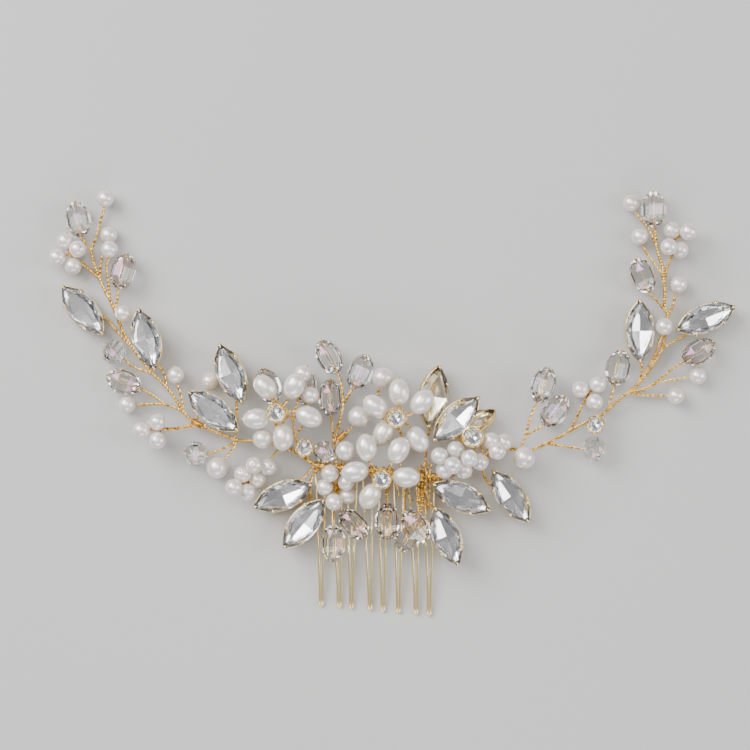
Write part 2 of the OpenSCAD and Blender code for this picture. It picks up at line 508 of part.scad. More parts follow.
CENTRE_BEADS = concat(PETALS_1, PETALS_2, PETALS_3, CENTRE_PEARLS, CLUSTER_C, CLUSTER_D, CLUSTER_E,
                      CENTRE_GLASS, CENTRE_OVALS);
LEFT_BEADS = concat(LEFT_PEARLS, CLUSTER_B, LEFT_ROUNDS, LEFT_OVALS);
LEFT_TIP_BEADS = concat(LEFT_TIP_PEARLS, CLUSTER_A, LEFT_TIP_OVALS);
RIGHT_BEADS = concat(RIGHT_PEARLS, CLUSTER_F, RIGHT_ROUNDS, RIGHT_OVALS);
RIGHT_TIP_BEADS = concat(RIGHT_TIP_PEARLS, CLUSTER_G, RIGHT_TIP_OVALS);

module centre_stems() {
    stems(CENTRE_BRANCHES, CENTRE_BEADS, CENTRE_NAVETTES, CENTRE_RHINESTONES);
    color(GOLD) strand(CENTRE_BUNDLE, bundle_d, 8);
}

comb_wire();
comb_rail();
rail_binding();
centre_stems();
wraps(CENTRE_WRAPS);  // centre_wraps
bead_wires(CENTRE_BEADS);  // centre_bead_wires
pearls(CENTRE_PEARLS);  // centre_pearls
glass_beads(CENTRE_GLASS);  // centre_glass_beads
pearls(PETALS_1);  // flower_1_petals
pearls(PETALS_2);  // flower_2_petals
pearls(PETALS_3);  // flower_3_petals
rhinestones(CENTRE_RHINESTONES);  // centre_rhinestones
claw_cups(CENTRE_RHINESTONES);  // centre_claw_cups
pearls(CLUSTER_C);  // cluster_c_pearls
pearls(CLUSTER_D);  // cluster_d_pearls
pearls(CLUSTER_E);  // cluster_e_pearls
navette_stones(CENTRE_NAVETTES);  // centre_navette_stones
navette_settings(CENTRE_NAVETTES);  // centre_navette_settings
stems(LEFT_BRANCHES, LEFT_BEADS, LEFT_NAVETTES);  // left_stems
wraps(LEFT_WRAPS);  // left_wraps
bead_wires(LEFT_BEADS);  // left_bead_wires
pearls(LEFT_PEARLS);  // left_pearls
pearls(CLUSTER_B);  // cluster_b_pearls
glass_beads(LEFT_ROUNDS);  // left_round_beads
navette_stones(LEFT_NAVETTES);  // left_navette_stones
navette_settings(LEFT_NAVETTES);  // left_navette_settings
stems(LEFT_TIP_BRANCHES, LEFT_TIP_BEADS, []);  // left_tip_stems
bead_wires(LEFT_TIP_BEADS);  // left_tip_bead_wires
pearls(LEFT_TIP_PEARLS);  // left_tip_pearls
pearls(CLUSTER_A);  // cluster_a_pearls
stems(RIGHT_BRANCHES, RIGHT_BEADS, RIGHT_NAVETTES, RIGHT_RHINESTONES);  // right_stems
bead_wires(RIGHT_BEADS);  // right_bead_wires
pearls(RIGHT_PEARLS);  // right_pearls
pearls(CLUSTER_F);  // cluster_f_pearls
glass_beads(RIGHT_ROUNDS);  // right_round_bead
rhinestones(RIGHT_RHINESTONES);  // right_rhinestone
claw_cups(RIGHT_RHINESTONES);  // right_claw_cup
navette_stones(RIGHT_NAVETTES);  // right_navette_stones
navette_settings(RIGHT_NAVETTES);  // right_navette_settings
stems(RIGHT_TIP_BRANCHES, RIGHT_TIP_BEADS, []);  // right_tip_stems
bead_wires(RIGHT_TIP_BEADS);  // right_tip_bead_wires
pearls(RIGHT_TIP_PEARLS);  // right_tip_pearls
pearls(CLUSTER_G);  // cluster_g_pearls
for (i = [0 : len(TURNING) - 1])
    glass_beads([TURNING[i]]);
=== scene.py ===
"""Looks of the bridal hair comb: twisted gold wire, pearls, cut glass and claw-set stones.

The layout lists repeat those of the CAD source, in millimetres. Every piece rides on its CAD body,
except the stems across the four bends, which are built in place and ride on neither of the two bodies
that they join.
"""

import random
from math import asin, atan, cos, pi, radians, sin, sqrt, tau

import bpy
from mathutils import Matrix, Vector


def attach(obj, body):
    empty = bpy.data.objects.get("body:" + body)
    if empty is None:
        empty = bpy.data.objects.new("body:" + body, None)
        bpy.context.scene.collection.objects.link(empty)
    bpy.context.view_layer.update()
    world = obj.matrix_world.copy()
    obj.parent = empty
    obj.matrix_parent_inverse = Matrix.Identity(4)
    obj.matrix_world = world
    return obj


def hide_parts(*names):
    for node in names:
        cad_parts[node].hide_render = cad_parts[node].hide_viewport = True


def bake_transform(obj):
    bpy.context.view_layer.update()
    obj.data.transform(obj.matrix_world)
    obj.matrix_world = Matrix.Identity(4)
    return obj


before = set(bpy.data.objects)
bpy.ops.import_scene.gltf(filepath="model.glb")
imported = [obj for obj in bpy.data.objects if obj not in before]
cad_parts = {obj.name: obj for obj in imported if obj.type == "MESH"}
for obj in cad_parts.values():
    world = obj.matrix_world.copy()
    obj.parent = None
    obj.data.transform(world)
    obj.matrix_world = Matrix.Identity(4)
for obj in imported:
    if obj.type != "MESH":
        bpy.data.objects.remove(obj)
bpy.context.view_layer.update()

MM = 0.001

# ---- Sizes, in millimetres ----
PEARL = (5.0, 5.0)  # each bead is (length along the hole, diameter)
MID_PEARL = (5.8, 5.8)
BIG_PEARL = (6.4, 6.4)
RICE = (8.0, 6.0)
OVAL = (10.5, 7.4)
ROUND = (6.62, 7.2)
SMALL_ROUND = (6.05, 6.62)
BORE_R = 0.25
TIP_GAP = 0.35  # free length of wire between a stem's end and its bead
PEARL_SIDES = 36
PEARL_ROWS = 15

NAVETTE_L = 18.5
NAVETTE_W = 8.3
CROWN_H = 1.7
POINT_CUT = 0.95  # share of each flank's arc that is left when the points are clipped
RHINESTONE_R = 2.2
RHINESTONE_SIDES = 12
CUP_R = RHINESTONE_R + 0.12
CUP_SIDES = 48
CUP_CLAWS = 6

TWIG_D = 0.88  # outside width of a twisted pair
STEM_D = 1.06  # outside width of a vine's main stem
WIRE_D = 0.45
BEAD_WIRE_D = 0.4
FINE_WIRE_D = 0.32
WRAP_PITCH = FINE_WIRE_D * 1.15
WIRE_SIDES = 7
STEPS_PER_TWIST = 11
STEPS_PER_WINDING = 10
STEPS_PER_COIL = 14
STEPS_PER_LASH = 40

PRONGS = 8
PRONG_PITCH = 4.5
PRONG_L = 41
PRONG_WIRE_R = 0.37
PRONG_TIP_R = PRONG_WIRE_R + 0.04
PRONG_RISE = 0.9  # how steeply a prong arches up before its tip comes down
LEG_GAP = 3
LEG_TAPER = 1.15  # share of a prong's length at which its straight legs would cross
PRONG_LEAN = (0, 0.8, -0.2, 0.8, 0, 0, 0.7, 0)  # sideways shift of each prong's tip
PRONG_Z = 3
RAIL_CENTRE = (-5.45, -19.5)
RAIL_DROP = 0.09  # fall of the rail for each millimetre of X
RAIL_Z = 4.4
RAIL_R = 0.8
RAIL_STEPS = 24
SPINE_Z = 6.7


# ---- Layout ----
def aim(turn, lift):
    """Unit vector for a direction given in degrees."""
    turn, lift = radians(turn), radians(lift)
    return Vector((cos(turn) * cos(lift), sin(turn) * cos(lift), sin(lift)))


def bead(size, centre, turn, lift, twig):
    """(size, centre, direction of the hole, points of its twig)"""
    return size, Vector(centre), aim(turn, lift), [Vector(p) for p in twig]


def cluster(hub, centres):
    """Small pearls on short twigs from one hub."""
    hub = Vector(hub)
    return [(PEARL, Vector(c), (Vector(c) - hub).normalized(), [hub]) for c in centres]


def petals(flower, *places):
    """The rice pearls round a flower: each place is (centre, turn, lift)."""
    return [bead(RICE, centre, turn, lift, [flower]) for centre, turn, lift in places]


def up_from(point, height):
    """The point that lies height above another."""
    return [point[0], point[1], point[2] + height]


# Left vine, outer stretch
LEFT_TIP_PEARLS = [
    bead(PEARL, [-83.8, 59.7, 3.4], 80, 40,
         [[-87.9, 44.7, 3.4], [-86.4, 49, 2.8], [-85.3, 53.5, 1.6]]),
    bead(PEARL, [-82.9, 49.2, 2.6], 82, 0, [[-85.3, 37.4, 3.6], [-84.9, 42, 3], [-84.1, 44.6, 2.6]]),
    bead(PEARL, [-82.3, 44.8, 5.8], 80, 40, [[-82.4, 30.4, 3.6], [-83, 36, 3.4], [-83.4, 40, 3.2]]),
]
CLUSTER_A = cluster([-94.3, 43.8, 1], [
    [-95.4, 47.4, 3.8], [-91.4, 44.9, 6.2], [-97.5, 42.6, 5.2], [-93.1, 40.1, 3.8]])
LEFT_TIP_OVALS = [
    bead(OVAL, [-91.6, 53.6, 4.2], 101, 0, [[-87.9, 44.7, 3.4], [-89.6, 46.8, 3.8]]),
]
# Left vine, inner stretch
LEFT_PEARLS = [
    bead(PEARL, [-78.3, 26.4, 6.3], 60, 40, [[-79.3, 22.8, 3.6]]),
    bead(PEARL, [-77.5, -0.1, 3], 180, 0, [[-61, -2.2, 4], [-66.2, -0.1, 3.6]]),
    bead(PEARL, [-63.3, 8.5, 4.4], 100, 0, [[-60.9, -2.4, 4], [-61.8, 2.7, 4.2]]),
    bead(PEARL, [-53.5, 6.7, 3], 80, 0, [[-57.5, -5.2, 4.3], [-55, 1, 3.4]]),
    bead(BIG_PEARL, [-51.2, -18.4, 3.6], 230, 0, [[-45.4, -10.6, 5.9], [-46.8, -13.2, 5]]),
]
CLUSTER_B = cluster([-67.6, -7.2, 4.2], [
    [-72.9, -7.4, 7.4], [-68.2, -5, 7.6], [-68.2, -10.4, 7.4], [-71, -7.1, 2.6]])
LEFT_ROUNDS = [
    bead(ROUND, [-81.2, 15.2, 3.8], 142, 0, [[-70.5, 9.1, 3.7], [-74.9, 10.5, 3.6]]),
    bead(ROUND, [-57.6, -14.3, 4], 180, 0, [[-45.4, -10.6, 5.9], [-50.3, -13.2, 4.6]]),
]
LEFT_OVALS = [
    bead(OVAL, [-78.5, 38.5, 4.1], 74, 0, [[-80.9, 27.4, 3.6], [-80.2, 30.8, 3.8]]),
    bead(OVAL, [-78.3, 6.5, 3.9], 158, 0, [[-66.2, -0.1, 3.6], [-70, 2.6, 3.8]]),
]
# Centre: flowers, singles and clusters
FLOWER_1 = [-33.5, -2.5, 9.2]
FLOWER_2 = [0.6, -3.9, 9.2]
FLOWER_3 = [-3.5, -21.2, 10.4]
PETALS_1 = petals(
    FLOWER_1, ([-36.9, 5, 12], 132, 0), ([-28.6, 5.3, 13.5], 65, 18), ([-24.4, -3.5, 12.2], -24, 0),
    ([-31.8, -9.3, 12], -92, 0), ([-39.4, -4, 12], 185, 0))
PETALS_2 = petals(
    FLOWER_2, ([1.4, 3.5, 12.8], 92, 0), ([-5.4, -0.5, 12.4], 142, 0), ([7.9, 0.8, 13], 50, 0),
    ([-3, -8.1, 9.2], 240, 0), ([6.7, -9.9, 11.8], -58, 0))
PETALS_3 = petals(
    FLOWER_3, ([-7.9, -12.2, 14.6], 100, 0), ([1.2, -13, 14.4], 62, 0), ([3.4, -20.7, 13.4], 0, 0),
    ([-6.9, -26.1, 13.2], 240, -12), ([-11.2, -19.1, 14.4], 188, 0))
CENTRE_PEARLS = [
    bead(MID_PEARL, [-37.8, -9.8, 9.8], 150, 50, [[-34.6, -11.6, 6.4]]),
    bead(PEARL, [-26.2, 8.9, 9.6], 60, 10, [[-29.5, -4, 8.2], [-27.6, 1.5, 8.6]]),
    bead(PEARL, [-24, 2.7, 10.6], 75, 20, [[-29.5, -4, 8.2], [-25.4, -2.5, 8.6]]),
    bead(BIG_PEARL, [-3.2, 7.6, 7.4], 70, 50, [[1.7, -7.5, 6.8], [-3.6, -3.4, 6], [-5, 1, 5]]),
    bead(BIG_PEARL, [-10.1, -3.6, 7.6], 56, 0, [[-16.9, -11.6, 6.2], [-16, -10.2, 6.8]]),
    bead(MID_PEARL, [-13.9, -13.2, 11.8], 70, 40, [[-15.2, -18.4, 6.7]]),
    bead(PEARL, [27.7, -10.4, 11], 80, 50, [[26, -15.3, 6.6]]),
    bead(PEARL, [31.6, -10.9, 8.4], 60, 0, [[29, -14.3, 6.6]]),
    bead(PEARL, [29.3, -13.2, 14.8], 60, 60, [[28, -14.6, 6.6], [27.9, -14.9, 10]]),
    bead(PEARL, [24.6, -16.4, 11.2], -60, 60, [[23.5, -16.8, 6.7]]),
]
CLUSTER_C = cluster([-42.2, -22.6, 0.95], [
    [-39.6, -21.8, 4.2], [-42.5, -25.4, 6.4], [-43.7, -20.1, 6.8], [-46.1, -23.8, 9.6]])
CLUSTER_C += cluster([-38.4, -19, 1.2], [[-40.2, -17.4, 9.8], [-36.3, -18.1, 6]])
CLUSTER_D = cluster([-16.6, -24, 5.2], [
    [-18.4, -19.7, 11.1], [-20, -23.8, 7.8], [-17.3, -28, 9.4],
    [-13.4, -26.4, 6.2], [-13.8, -22.3, 9.1]])
CLUSTER_E = cluster([16.8, -16.3, 9], [
    [12.9, -14.6, 13], [17.6, -12.9, 11.2], [20, -18.8, 10.4],
    [14.4, -18.8, 10.3], [16.6, -17.2, 15.7], [21.4, -15.2, 15.5]])
CENTRE_GLASS = [
    bead(SMALL_ROUND, [-19.9, -13.6, 9.8], 100, 50, [[-19.2, -18.2, 6.7]]),
    bead(OVAL, [-36.5, 5.3, 4.4], 110, 0, [[-34.6, -12, 6.4], [-34.2, -5, 4.4]]),
    bead(OVAL, [-25.7, 5.1, 4.1], 95, 0, [[-28.6, -9, 7.4], [-25, -4, 5]]),
    bead(SMALL_ROUND, [3.2, -39.6, 7.1], 240, 20, [[8.3, -27, 6], [7, -33, 5]]),
]
CENTRE_OVALS = [
    bead(OVAL, [-18.8, 13.7, 6.2], 119, 0, [[-17.3, -10.8, 6], [-14.7, -0.1, 8.8], [-15, 5, 7.6]]),
    bead(OVAL, [-18.4, 1.9, 5.8], 92, 0, [[-17.3, -10.8, 6], [-17.8, -7, 5]]),
    bead(OVAL, [-9.8, 9.4, 6.6], 66, 0, [[-14.7, -0.1, 8.8], [-13.6, 1.7, 7.8]]),
    bead(OVAL, [-17.6, -40, 7.6], -90, 0, [[-16.6, -24, 5.2], [-17.6, -30.5, 5.6]]),
    bead(OVAL, [-11.6, -34.5, 7.6], -47, 0, [[-16.6, -24, 5.2], [-16, -27.5, 5.4]]),
    bead(OVAL, [-2, -33.7, 7.6], -90, 0, [[-2, -19.8, 6.7], [-2, -24, 6.8]]),
    bead(OVAL, [6.2, -34.8, 12], -55, 0, [[3.4, -20.2, 6.7], [3, -26, 8.4]]),
]
# Right vine, inner stretch
RIGHT_PEARLS = [
    bead(BIG_PEARL, [37.4, -15.3, 9.3], -60, 60, []),
    bead(PEARL, [78, 22.5, 7], 75, 30, [[73.1, 9.4, 3.6], [75.3, 13.4, 4], [76.7, 17.6, 4.6]]),
    bead(PEARL, [88.3, 8.2, 3], 8, 0, [[76, 6.2, 3.4]]),
    bead(PEARL, [81.9, 2.5, 3], 0, 0, [[67.6, 3.3, 3.8], [74.3, 2.5, 3.3]]),
]
CLUSTER_F = cluster([56.5, 2.8, 1.2], [[54, 4.3, 3.8], [59.2, 5.8, 3.8], [58.2, 0.6, 4.4]])
RIGHT_ROUNDS = [
    bead(ROUND, [58.1, -12.9, 4], 0, 0, [[43.9, -11.4, 5.4], [50, -12.3, 4.4]]),
]
RIGHT_OVALS = [
    bead(OVAL, [43.1, 5.6, 6.4], 71, 0, [[36.7, -12.9, 6.1], [38.7, -6.8, 5.6], [39.8, -3, 5.2]]),
    bead(OVAL, [46.6, -1.9, 3.9], 53, 0, [[37.9, -9.2, 5.8], [40.2, -7.9, 5.2]]),
    bead(OVAL, [65, 10.5, 4.2], 79, 0, [[62.1, -0.7, 4], [63, 2.2, 4.1]]),
    bead(OVAL, [88.4, 15.2, 4], 31, 0, [[76, 6.2, 3.4], [80, 9.6, 3.8]]),
]
# Right vine, outer stretch
RIGHT_TIP_PEARLS = [
    bead(PEARL, [69, 58.5, 2.6], 112, 0, [[76.2, 46.1, 3.6], [74, 50.8, 3]]),
    bead(PEARL, [71.4, 48.7, 3], 105, 0, [[78, 37.4, 3.6], [74.8, 42, 3.4]]),
    bead(PEARL, [82.7, 34.8, 3], 75, 0, [[79.7, 26, 3.6], [81, 28.8, 3.2]]),
]
CLUSTER_G = cluster([81.6, 48, 1], [
    [80.6, 50.5, 3.8], [85.1, 49.9, 6.3], [79.3, 45.5, 7], [83.1, 44.8, 3.2]])
RIGHT_TIP_OVALS = [
    bead(OVAL, [75.3, 56.5, 4.2], 92, 0, []),
    bead(OVAL, [72.1, 37.4, 4], 112, 0, [[79.7, 26, 3.6], [76.7, 29.6, 3.8]]),
]

# ---- Where the stones sit ----
# Each entry is [centre of the girdle, [roll, pitch, turn], points of its stem, size if not 1].
LEFT_NAVETTES = [
    [[-90.2, 27.3, 4.8], [0, 0, 130],
     [[-77.2, 17.5, 3.6], [-81.2, 22.1, 2.4], [-83.2, 24.4, 1.4], [-87, 26.8, 1.15]]],
    [[-71.4, 18.8, 8.1], [0, 0, 104.5], [[-65.8, 4.7, 3.8], [-66.8, 9, 4], [-70.5, 15.5, 4.45]]],
    [[-52, -1.9, 9.7], [0, 0, 142], [[-55.2, -6.5, 4.6], [-53.5, -3.5, 6.05]]],
    [[-47.1, 8.9, 7.8], [0, 0, 111],
     [[-46.2, -10, 5.9], [-45.4, -4.5, 5], [-46, 3, 4.4], [-46.8, 7, 4.15]]],
]
CENTRE_NAVETTES = [
    [[-32.1, -26.4, 6.6], [0, 0, 21.5],
     [[-23, -17.5, 6.7], [-25.5, -20.5, 4.6], [-29, -23.8, 3.1], [-31.5, -25.4, 2.95]]],
    [[-26, -34.4, 7.4], [0, 0, 50],
     [[-21.5, -17.4, 6.7], [-24, -22, 5], [-24.3, -27, 4], [-25, -31.5, 3.75]]],
    [[11.7, 2.2, 5.4], [14, 0, 80],
     [[9, -20.8, 6.7], [9.5, -12, 3.6], [11, -3, 2], [11.6, 1, 1.9]]],
    [[17.8, -4.1, 11.2], [0, 0, 44], [[21.5, -17.8, 6.7], [19.5, -11, 6.6], [17.6, -5.5, 7.55]]],
    [[19.4, -26.7, 8.7], [0, 0, 155], [[12, -21, 6.7], [14.5, -23.5, 5.6], [17.5, -25.6, 5.05]]],
    [[15.1, -38, 8], [0, 0, 112],
     [[8.3, -20.7, 6.7], [8, -27, 5.7], [12.4, -31.5, 4.8], [14.6, -36, 4.35]]],
    [[22.6, -4.9, 4.9], [-50, 0, 28],
     [[26, -15.4, 6.6], [25.4, -11.8, 3.4], [24.4, -8.8, 1.6], [23.72, -7, 2.85]], 0.8],
    [[33.8, -26.7, 5.6], [0, 0, 125],
     [[25, -16.2, 6.6], [25.6, -19.5, 5], [27.4, -22.8, 2.7], [31, -25.2, 1.95]]],
]
RIGHT_NAVETTES = [
    [[71.1, 21.2, 6.2], [0, 0, 90],
     [[70.8, 5.8, 3.7], [72.1, 9.7, 3], [71.4, 14, 2.6], [71.2, 18, 2.55]]],
    [[90.3, 24.9, 5.3], [0, 0, 22],
     [[77.7, 15.9, 3.6], [80.5, 17.8, 3.4], [85.6, 20.6, 1.8], [90, 24.3, 1.65]]],
]
CHAMPAGNE_NAVETTES = [CENTRE_NAVETTES[2], CENTRE_NAVETTES[6]]
# Rhinestones: [centre of the girdle, foot of the cup's stem, size if not 1]
CENTRE_RHINESTONES = [
    [up_from(FLOWER_1, 7.4), FLOWER_1],
    [up_from(FLOWER_2, 7.4), FLOWER_2],
    [up_from(FLOWER_3, 8), FLOWER_3],
    [[-25.8, -12.4, 10.6], [-24.6, -16.2, 6.7]],
    [[22.5, -9.2, 14.6], [24.2, -16.4, 6.7], 1.15],
]
RIGHT_RHINESTONES = [[[58.1, -5.8, 7.6], [57.2, -4.7, 4.3]]]

# ---- Stem routes ----
CENTRE_BUNDLE = [
    [-23, -17.5, SPINE_Z], [-14, -18.8, SPINE_Z], [-5.5, -19.5, SPINE_Z], [5, -20.4, SPINE_Z],
    [12, -21, SPINE_Z], [20, -18.6, SPINE_Z]]
CENTRE_BRANCHES = [
    [[-41.6, -10.5, 6.1], [-38, -10.8, 6.3], [-35, -11.5, 6.4], [-30, -13, 6.6],
     [-22.5, -17.6, SPINE_Z]],
    [[19.5, -18.7, SPINE_Z], [26, -15.4, 6.6], [30.6, -13.8, 6.5], [33.2, -13.1, 6.4]],
    [[-23, -17.5, SPINE_Z], [-27.5, -12.9, 7], [-28.6, -9, 7.4], [-29.5, -4, 8.2], FLOWER_1],
    [[1.5, -20, SPINE_Z], [2.2, -12, 6.4], [1.7, -7.5, 6.8], FLOWER_2],
    [[-3.5, -19.7, SPINE_Z], FLOWER_3],
    [[-16.5, -18.5, SPINE_Z], [-17, -14, 6], [-17.3, -10.8, 6]],
    [[-16.5, -18.5, SPINE_Z], [-16.6, -21, 5.8], [-16.6, -24, 5.2]],
    [[-33, -12.4, 6.4], [-35.3, -15.2, 3.4], [-38.4, -19, 1.2], [-42.2, -22.6, 0.95]],
    [[18.5, -19, SPINE_Z], [17.8, -17.6, 7.8], [16.8, -16.3, 9]],
]
LEFT_MAIN = [
    [-45.2, -10.4, 5.9], [-47, -9.8, 5.7], [-51.7, -7.9, 5.1], [-55.2, -6.5, 4.6], [-59, -4.5, 4.2],
    [-61, -2.2, 4], [-65.3, 4.2, 3.8], [-70.2, 9.1, 3.7], [-73.4, 12.9, 3.6], [-77.7, 19.2, 3.6],
    [-79.6, 23.4, 3.6], [-81, 27, 3.6]]
LEFT_BRANCHES = [LEFT_MAIN, [[-57.5, -6, 4.4], [-63.3, -7, 4.2], [-67.6, -7.2, 4.2]]]
LEFT_TIP_MAIN = [
    [-82.9, 31.2, 3.6], [-83.6, 32.5, 3.6], [-85.5, 36.8, 3.6],
    [-87.3, 41.8, 3.5], [-87.9, 44.7, 3.4]]
LEFT_TIP_BRANCHES = [LEFT_TIP_MAIN, [[-85.5, 36.8, 3.6], [-88.5, 39.2, 1.6], [-94.3, 43.8, 1]]]
RIGHT_MAIN = [
    [36, -12.9, 6.2], [39.6, -13.2, 5.9], [43.9, -11.4, 5.4], [48, -9.4, 5], [51.4, -7.4, 4.7],
    [54.9, -5.6, 4.4], [59.8, -3.4, 4.2], [62.1, -1.6, 4], [64.4, 0.4, 3.9], [67.6, 3.3, 3.8],
    [70.8, 5.8, 3.7], [74.6, 10.7, 3.6], [77.7, 15.9, 3.6], [78.6, 20, 3.6], [78.9, 22.6, 3.6]]
RIGHT_BRANCHES = [
    RIGHT_MAIN,
    [[67.6, 3.3, 3.8], [72.5, 4.2, 3.6], [76, 6.2, 3.4]],
    [[51.4, -7.4, 4.7], [53.8, -2.2, 3.2], [56.5, 2.8, 1.2]],
    [[36.2, -12.9, 6.2], [36.5, -13.8, 6.2]],
]
RIGHT_TIP_MAIN = [
    [79.5, 26, 3.6], [78.9, 27.8, 3.6], [78.5, 29.3, 3.6], [78.6, 33.4, 3.6], [78, 37.4, 3.6],
    [78, 39.7, 3.6], [77, 42.6, 3.6], [76.2, 46.1, 3.6], [75.5, 50.9, 4.2]]
RIGHT_TIP_BRANCHES = [
    RIGHT_TIP_MAIN,
    [[78.4, 35.5, 3.6], [79.4, 39.7, 2.4], [80.8, 43, 1.2], [81.6, 48, 1]],
]
# Wire coils wound round a straight stretch of stem: [from, to]
CENTRE_WRAPS = [
    [[-13.9, -8.1, 7.25], [-16, -10.2, 6.85]],
    [[8.17, -23.3, 6.3], [8.03, -26.6, 5.75]],
]
LEFT_WRAPS = [[[-55.6, -6.3, 4.6], [-58.6, -4.7, 4.25]]]
# Loose winding wire: (its route, how far from the route it winds, distance between turns)
WINDINGS = [
    (CENTRE_BUNDLE, 1.15, 1.7), (CENTRE_BUNDLE, 1.3, 2.6), (CENTRE_BUNDLE, 1.45, 3.7),
    ([[-23, -17.5, SPINE_Z], [-27.5, -13.6, 6.9], [-34, -11.8, 6.4]], 0.8, 1.9),
    ([[19.5, -18.7, SPINE_Z], [26, -15.4, 6.6], [31.5, -13.6, 6.5]], 0.85, 1.7),
    ([[8.8, -17, 6.3], [8.4, -21, 6.6], [8.1, -27, 5.7], [9.4, -31, 5.2]], 1.1, 1.5),
    ([[10.4, -16.5, 6], [9.6, -20, 6.6], [9.4, -26, 5.9]], 0.9, 1.9),
    ([[3.2, -21, 6.7], [3.6, -25, 6.6], [5.2, -29, 6.6]], 0.6, 2.1),
    ([[-2, -20.5, 6.7], [-2, -24, 6.8], [-2, -27, 7.2]], 0.6, 1.6),
    ([[-16.5, -18.8, 6.6], [-16.7, -22, 5.9], [-17.4, -27, 5.4]], 0.65, 1.5),
    ([[-17, -14, 6], [-17.3, -10.8, 6], [-15.5, -4, 8]], 0.6, 1.5),
]
for flower in (FLOWER_1, FLOWER_2, FLOWER_3):
    WINDINGS.append(([up_from(flower, -2), flower, up_from(flower, 2.2)], 2.6, 0.7))
# Spare ends that run beside the twisted stems
STRAYS = [
    [[6.8, -17.6, 7.8], [7.4, -21, 7.9], [7, -26, 6.6], [8.2, -31, 5.6]],
    [[10.9, -17.2, 7.4], [10.2, -20, 7.8], [10.4, -25, 6.8], [9.8, -29.5, 5.7]],
    [[8.6, -16.4, 7.4], [9.2, -19.6, 8.2], [8.9, -24, 7.4], [10.8, -29, 5.6]],
    [[7.6, -18.4, 8.3], [6.4, -22, 7.6], [6.6, -28, 6.4], [7.2, -32.5, 5.4]],
    [[-1, -20.4, 8.1], [0.6, -23.2, 7.2], [1.5, -27, 6.8]],
    [[-8, -19.3, 8.2], [-3, -19.2, 8.4], [2.5, -20, 8.2], [7.5, -20.4, 8.3]],
    [[-22, -17.2, 8], [-17, -18, 8.3], [-12, -18.2, 8.3]],
    [[11, -20.4, 8.2], [15, -20.8, 8], [19, -18.8, 7.6], [24, -15.6, 7.4]],
]
# Stem across a joint, which lies between its route's second point and the last but one; it is built in
# place and
# rides on neither body: (its two bodies, its route)
BENDS = {
    "left_bend": ("comb", "left_vine", [
        [-40.6, -10.5, 6.15], [-41.6, -10.5, 6.1], [-44, -10.5, 6],
        [-45.2, -10.4, 5.9], [-46.2, -10.1, 5.8]]),
    "left_tip_bend": ("left_vine", "left_tip", [
        [-80.4, 25.5, 3.6], [-81, 27, 3.6], [-81.9, 29.3, 3.6],
        [-82.9, 31.2, 3.6], [-83.5, 32.3, 3.6]]),
    "right_bend": ("comb", "right_vine", [
        [31.8, -13.5, 6.45], [33.2, -13.1, 6.4], [34.6, -12.9, 6.3],
        [36, -12.9, 6.2], [37.2, -12.95, 6.1]]),
    "right_tip_bend": ("right_vine", "right_tip", [
        [78.8, 21.4, 3.6], [78.9, 22.6, 3.6], [79.15, 24.35, 3.6],
        [79.5, 26, 3.6], [79.1, 27, 3.6]]),
}


# ---- Shapes ----
class Shape:
    """Vertices and faces, in millimetres, gathered from many small shapes into one piece."""

    def __init__(self):
        self.verts = []
        self.faces = []
        self.slots = []
        self.flat = []

    def add(self, verts, faces, slot=0, flat=False):
        """Take in a small shape, with its own material slot and shading."""
        first = len(self.verts)
        self.verts.extend(verts)
        self.faces.extend(tuple(first + i for i in face) for face in faces)
        self.slots.extend([slot] * len(faces))
        self.flat.extend([flat] * len(faces))

    def stack(self, rings, inside_out=False):
        """Take in the solid between stacked rings of equal length, with both ends closed."""
        sides = len(rings[0])
        last = (len(rings) - 1) * sides
        faces = join_rings(rings) + [tuple(reversed(range(sides))), tuple(range(last, last + sides))]
        if inside_out:
            faces = [tuple(reversed(face)) for face in faces]
        self.add([v for ring in rings for v in ring], faces)

    def piece(self, name, body, materials, nodes=()):
        """Make the gathered faces into an object that rides on a body, if one is given."""
        mesh = bpy.data.meshes.new(name)
        mesh.from_pydata([tuple(v * MM for v in p) for p in self.verts], [], self.faces)
        mesh.polygons.foreach_set("material_index", self.slots)
        mesh.polygons.foreach_set("use_smooth", [not f for f in self.flat])
        for material in materials:
            mesh.materials.append(material)
        mesh.validate()
        obj = bpy.data.objects.new(name, mesh)
        bpy.context.scene.collection.objects.link(obj)
        if body:
            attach(obj, body)
        if nodes:
            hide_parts(*nodes)
        return obj


def along(point, direction):
    """Places a shape's Z axis along a direction at a point."""
    return Matrix.Translation(point) @ direction.to_track_quat("Z", "Y").to_matrix().to_4x4()


def join_rings(rings, closed=False):
    """Quads between rings of equal length; closed joins the last ring to the first."""
    sides = len(rings[0])
    faces = []
    for i in range(len(rings) if closed else len(rings) - 1):
        a, b = i * sides, ((i + 1) % len(rings)) * sides
        faces += [(a + k, a + (k + 1) % sides, b + (k + 1) % sides, b + k) for k in range(sides)]
    return faces


def lathe(shape, place, profile, sides):
    """Solid of revolution round Z from a closed profile of (radius, height)."""
    angles = [tau * k / sides for k in range(sides)]
    rings = [[place @ Vector((r * cos(a), r * sin(a), z)) for a in angles] for r, z in profile]
    shape.add([v for ring in rings for v in ring], join_rings(rings, closed=True))


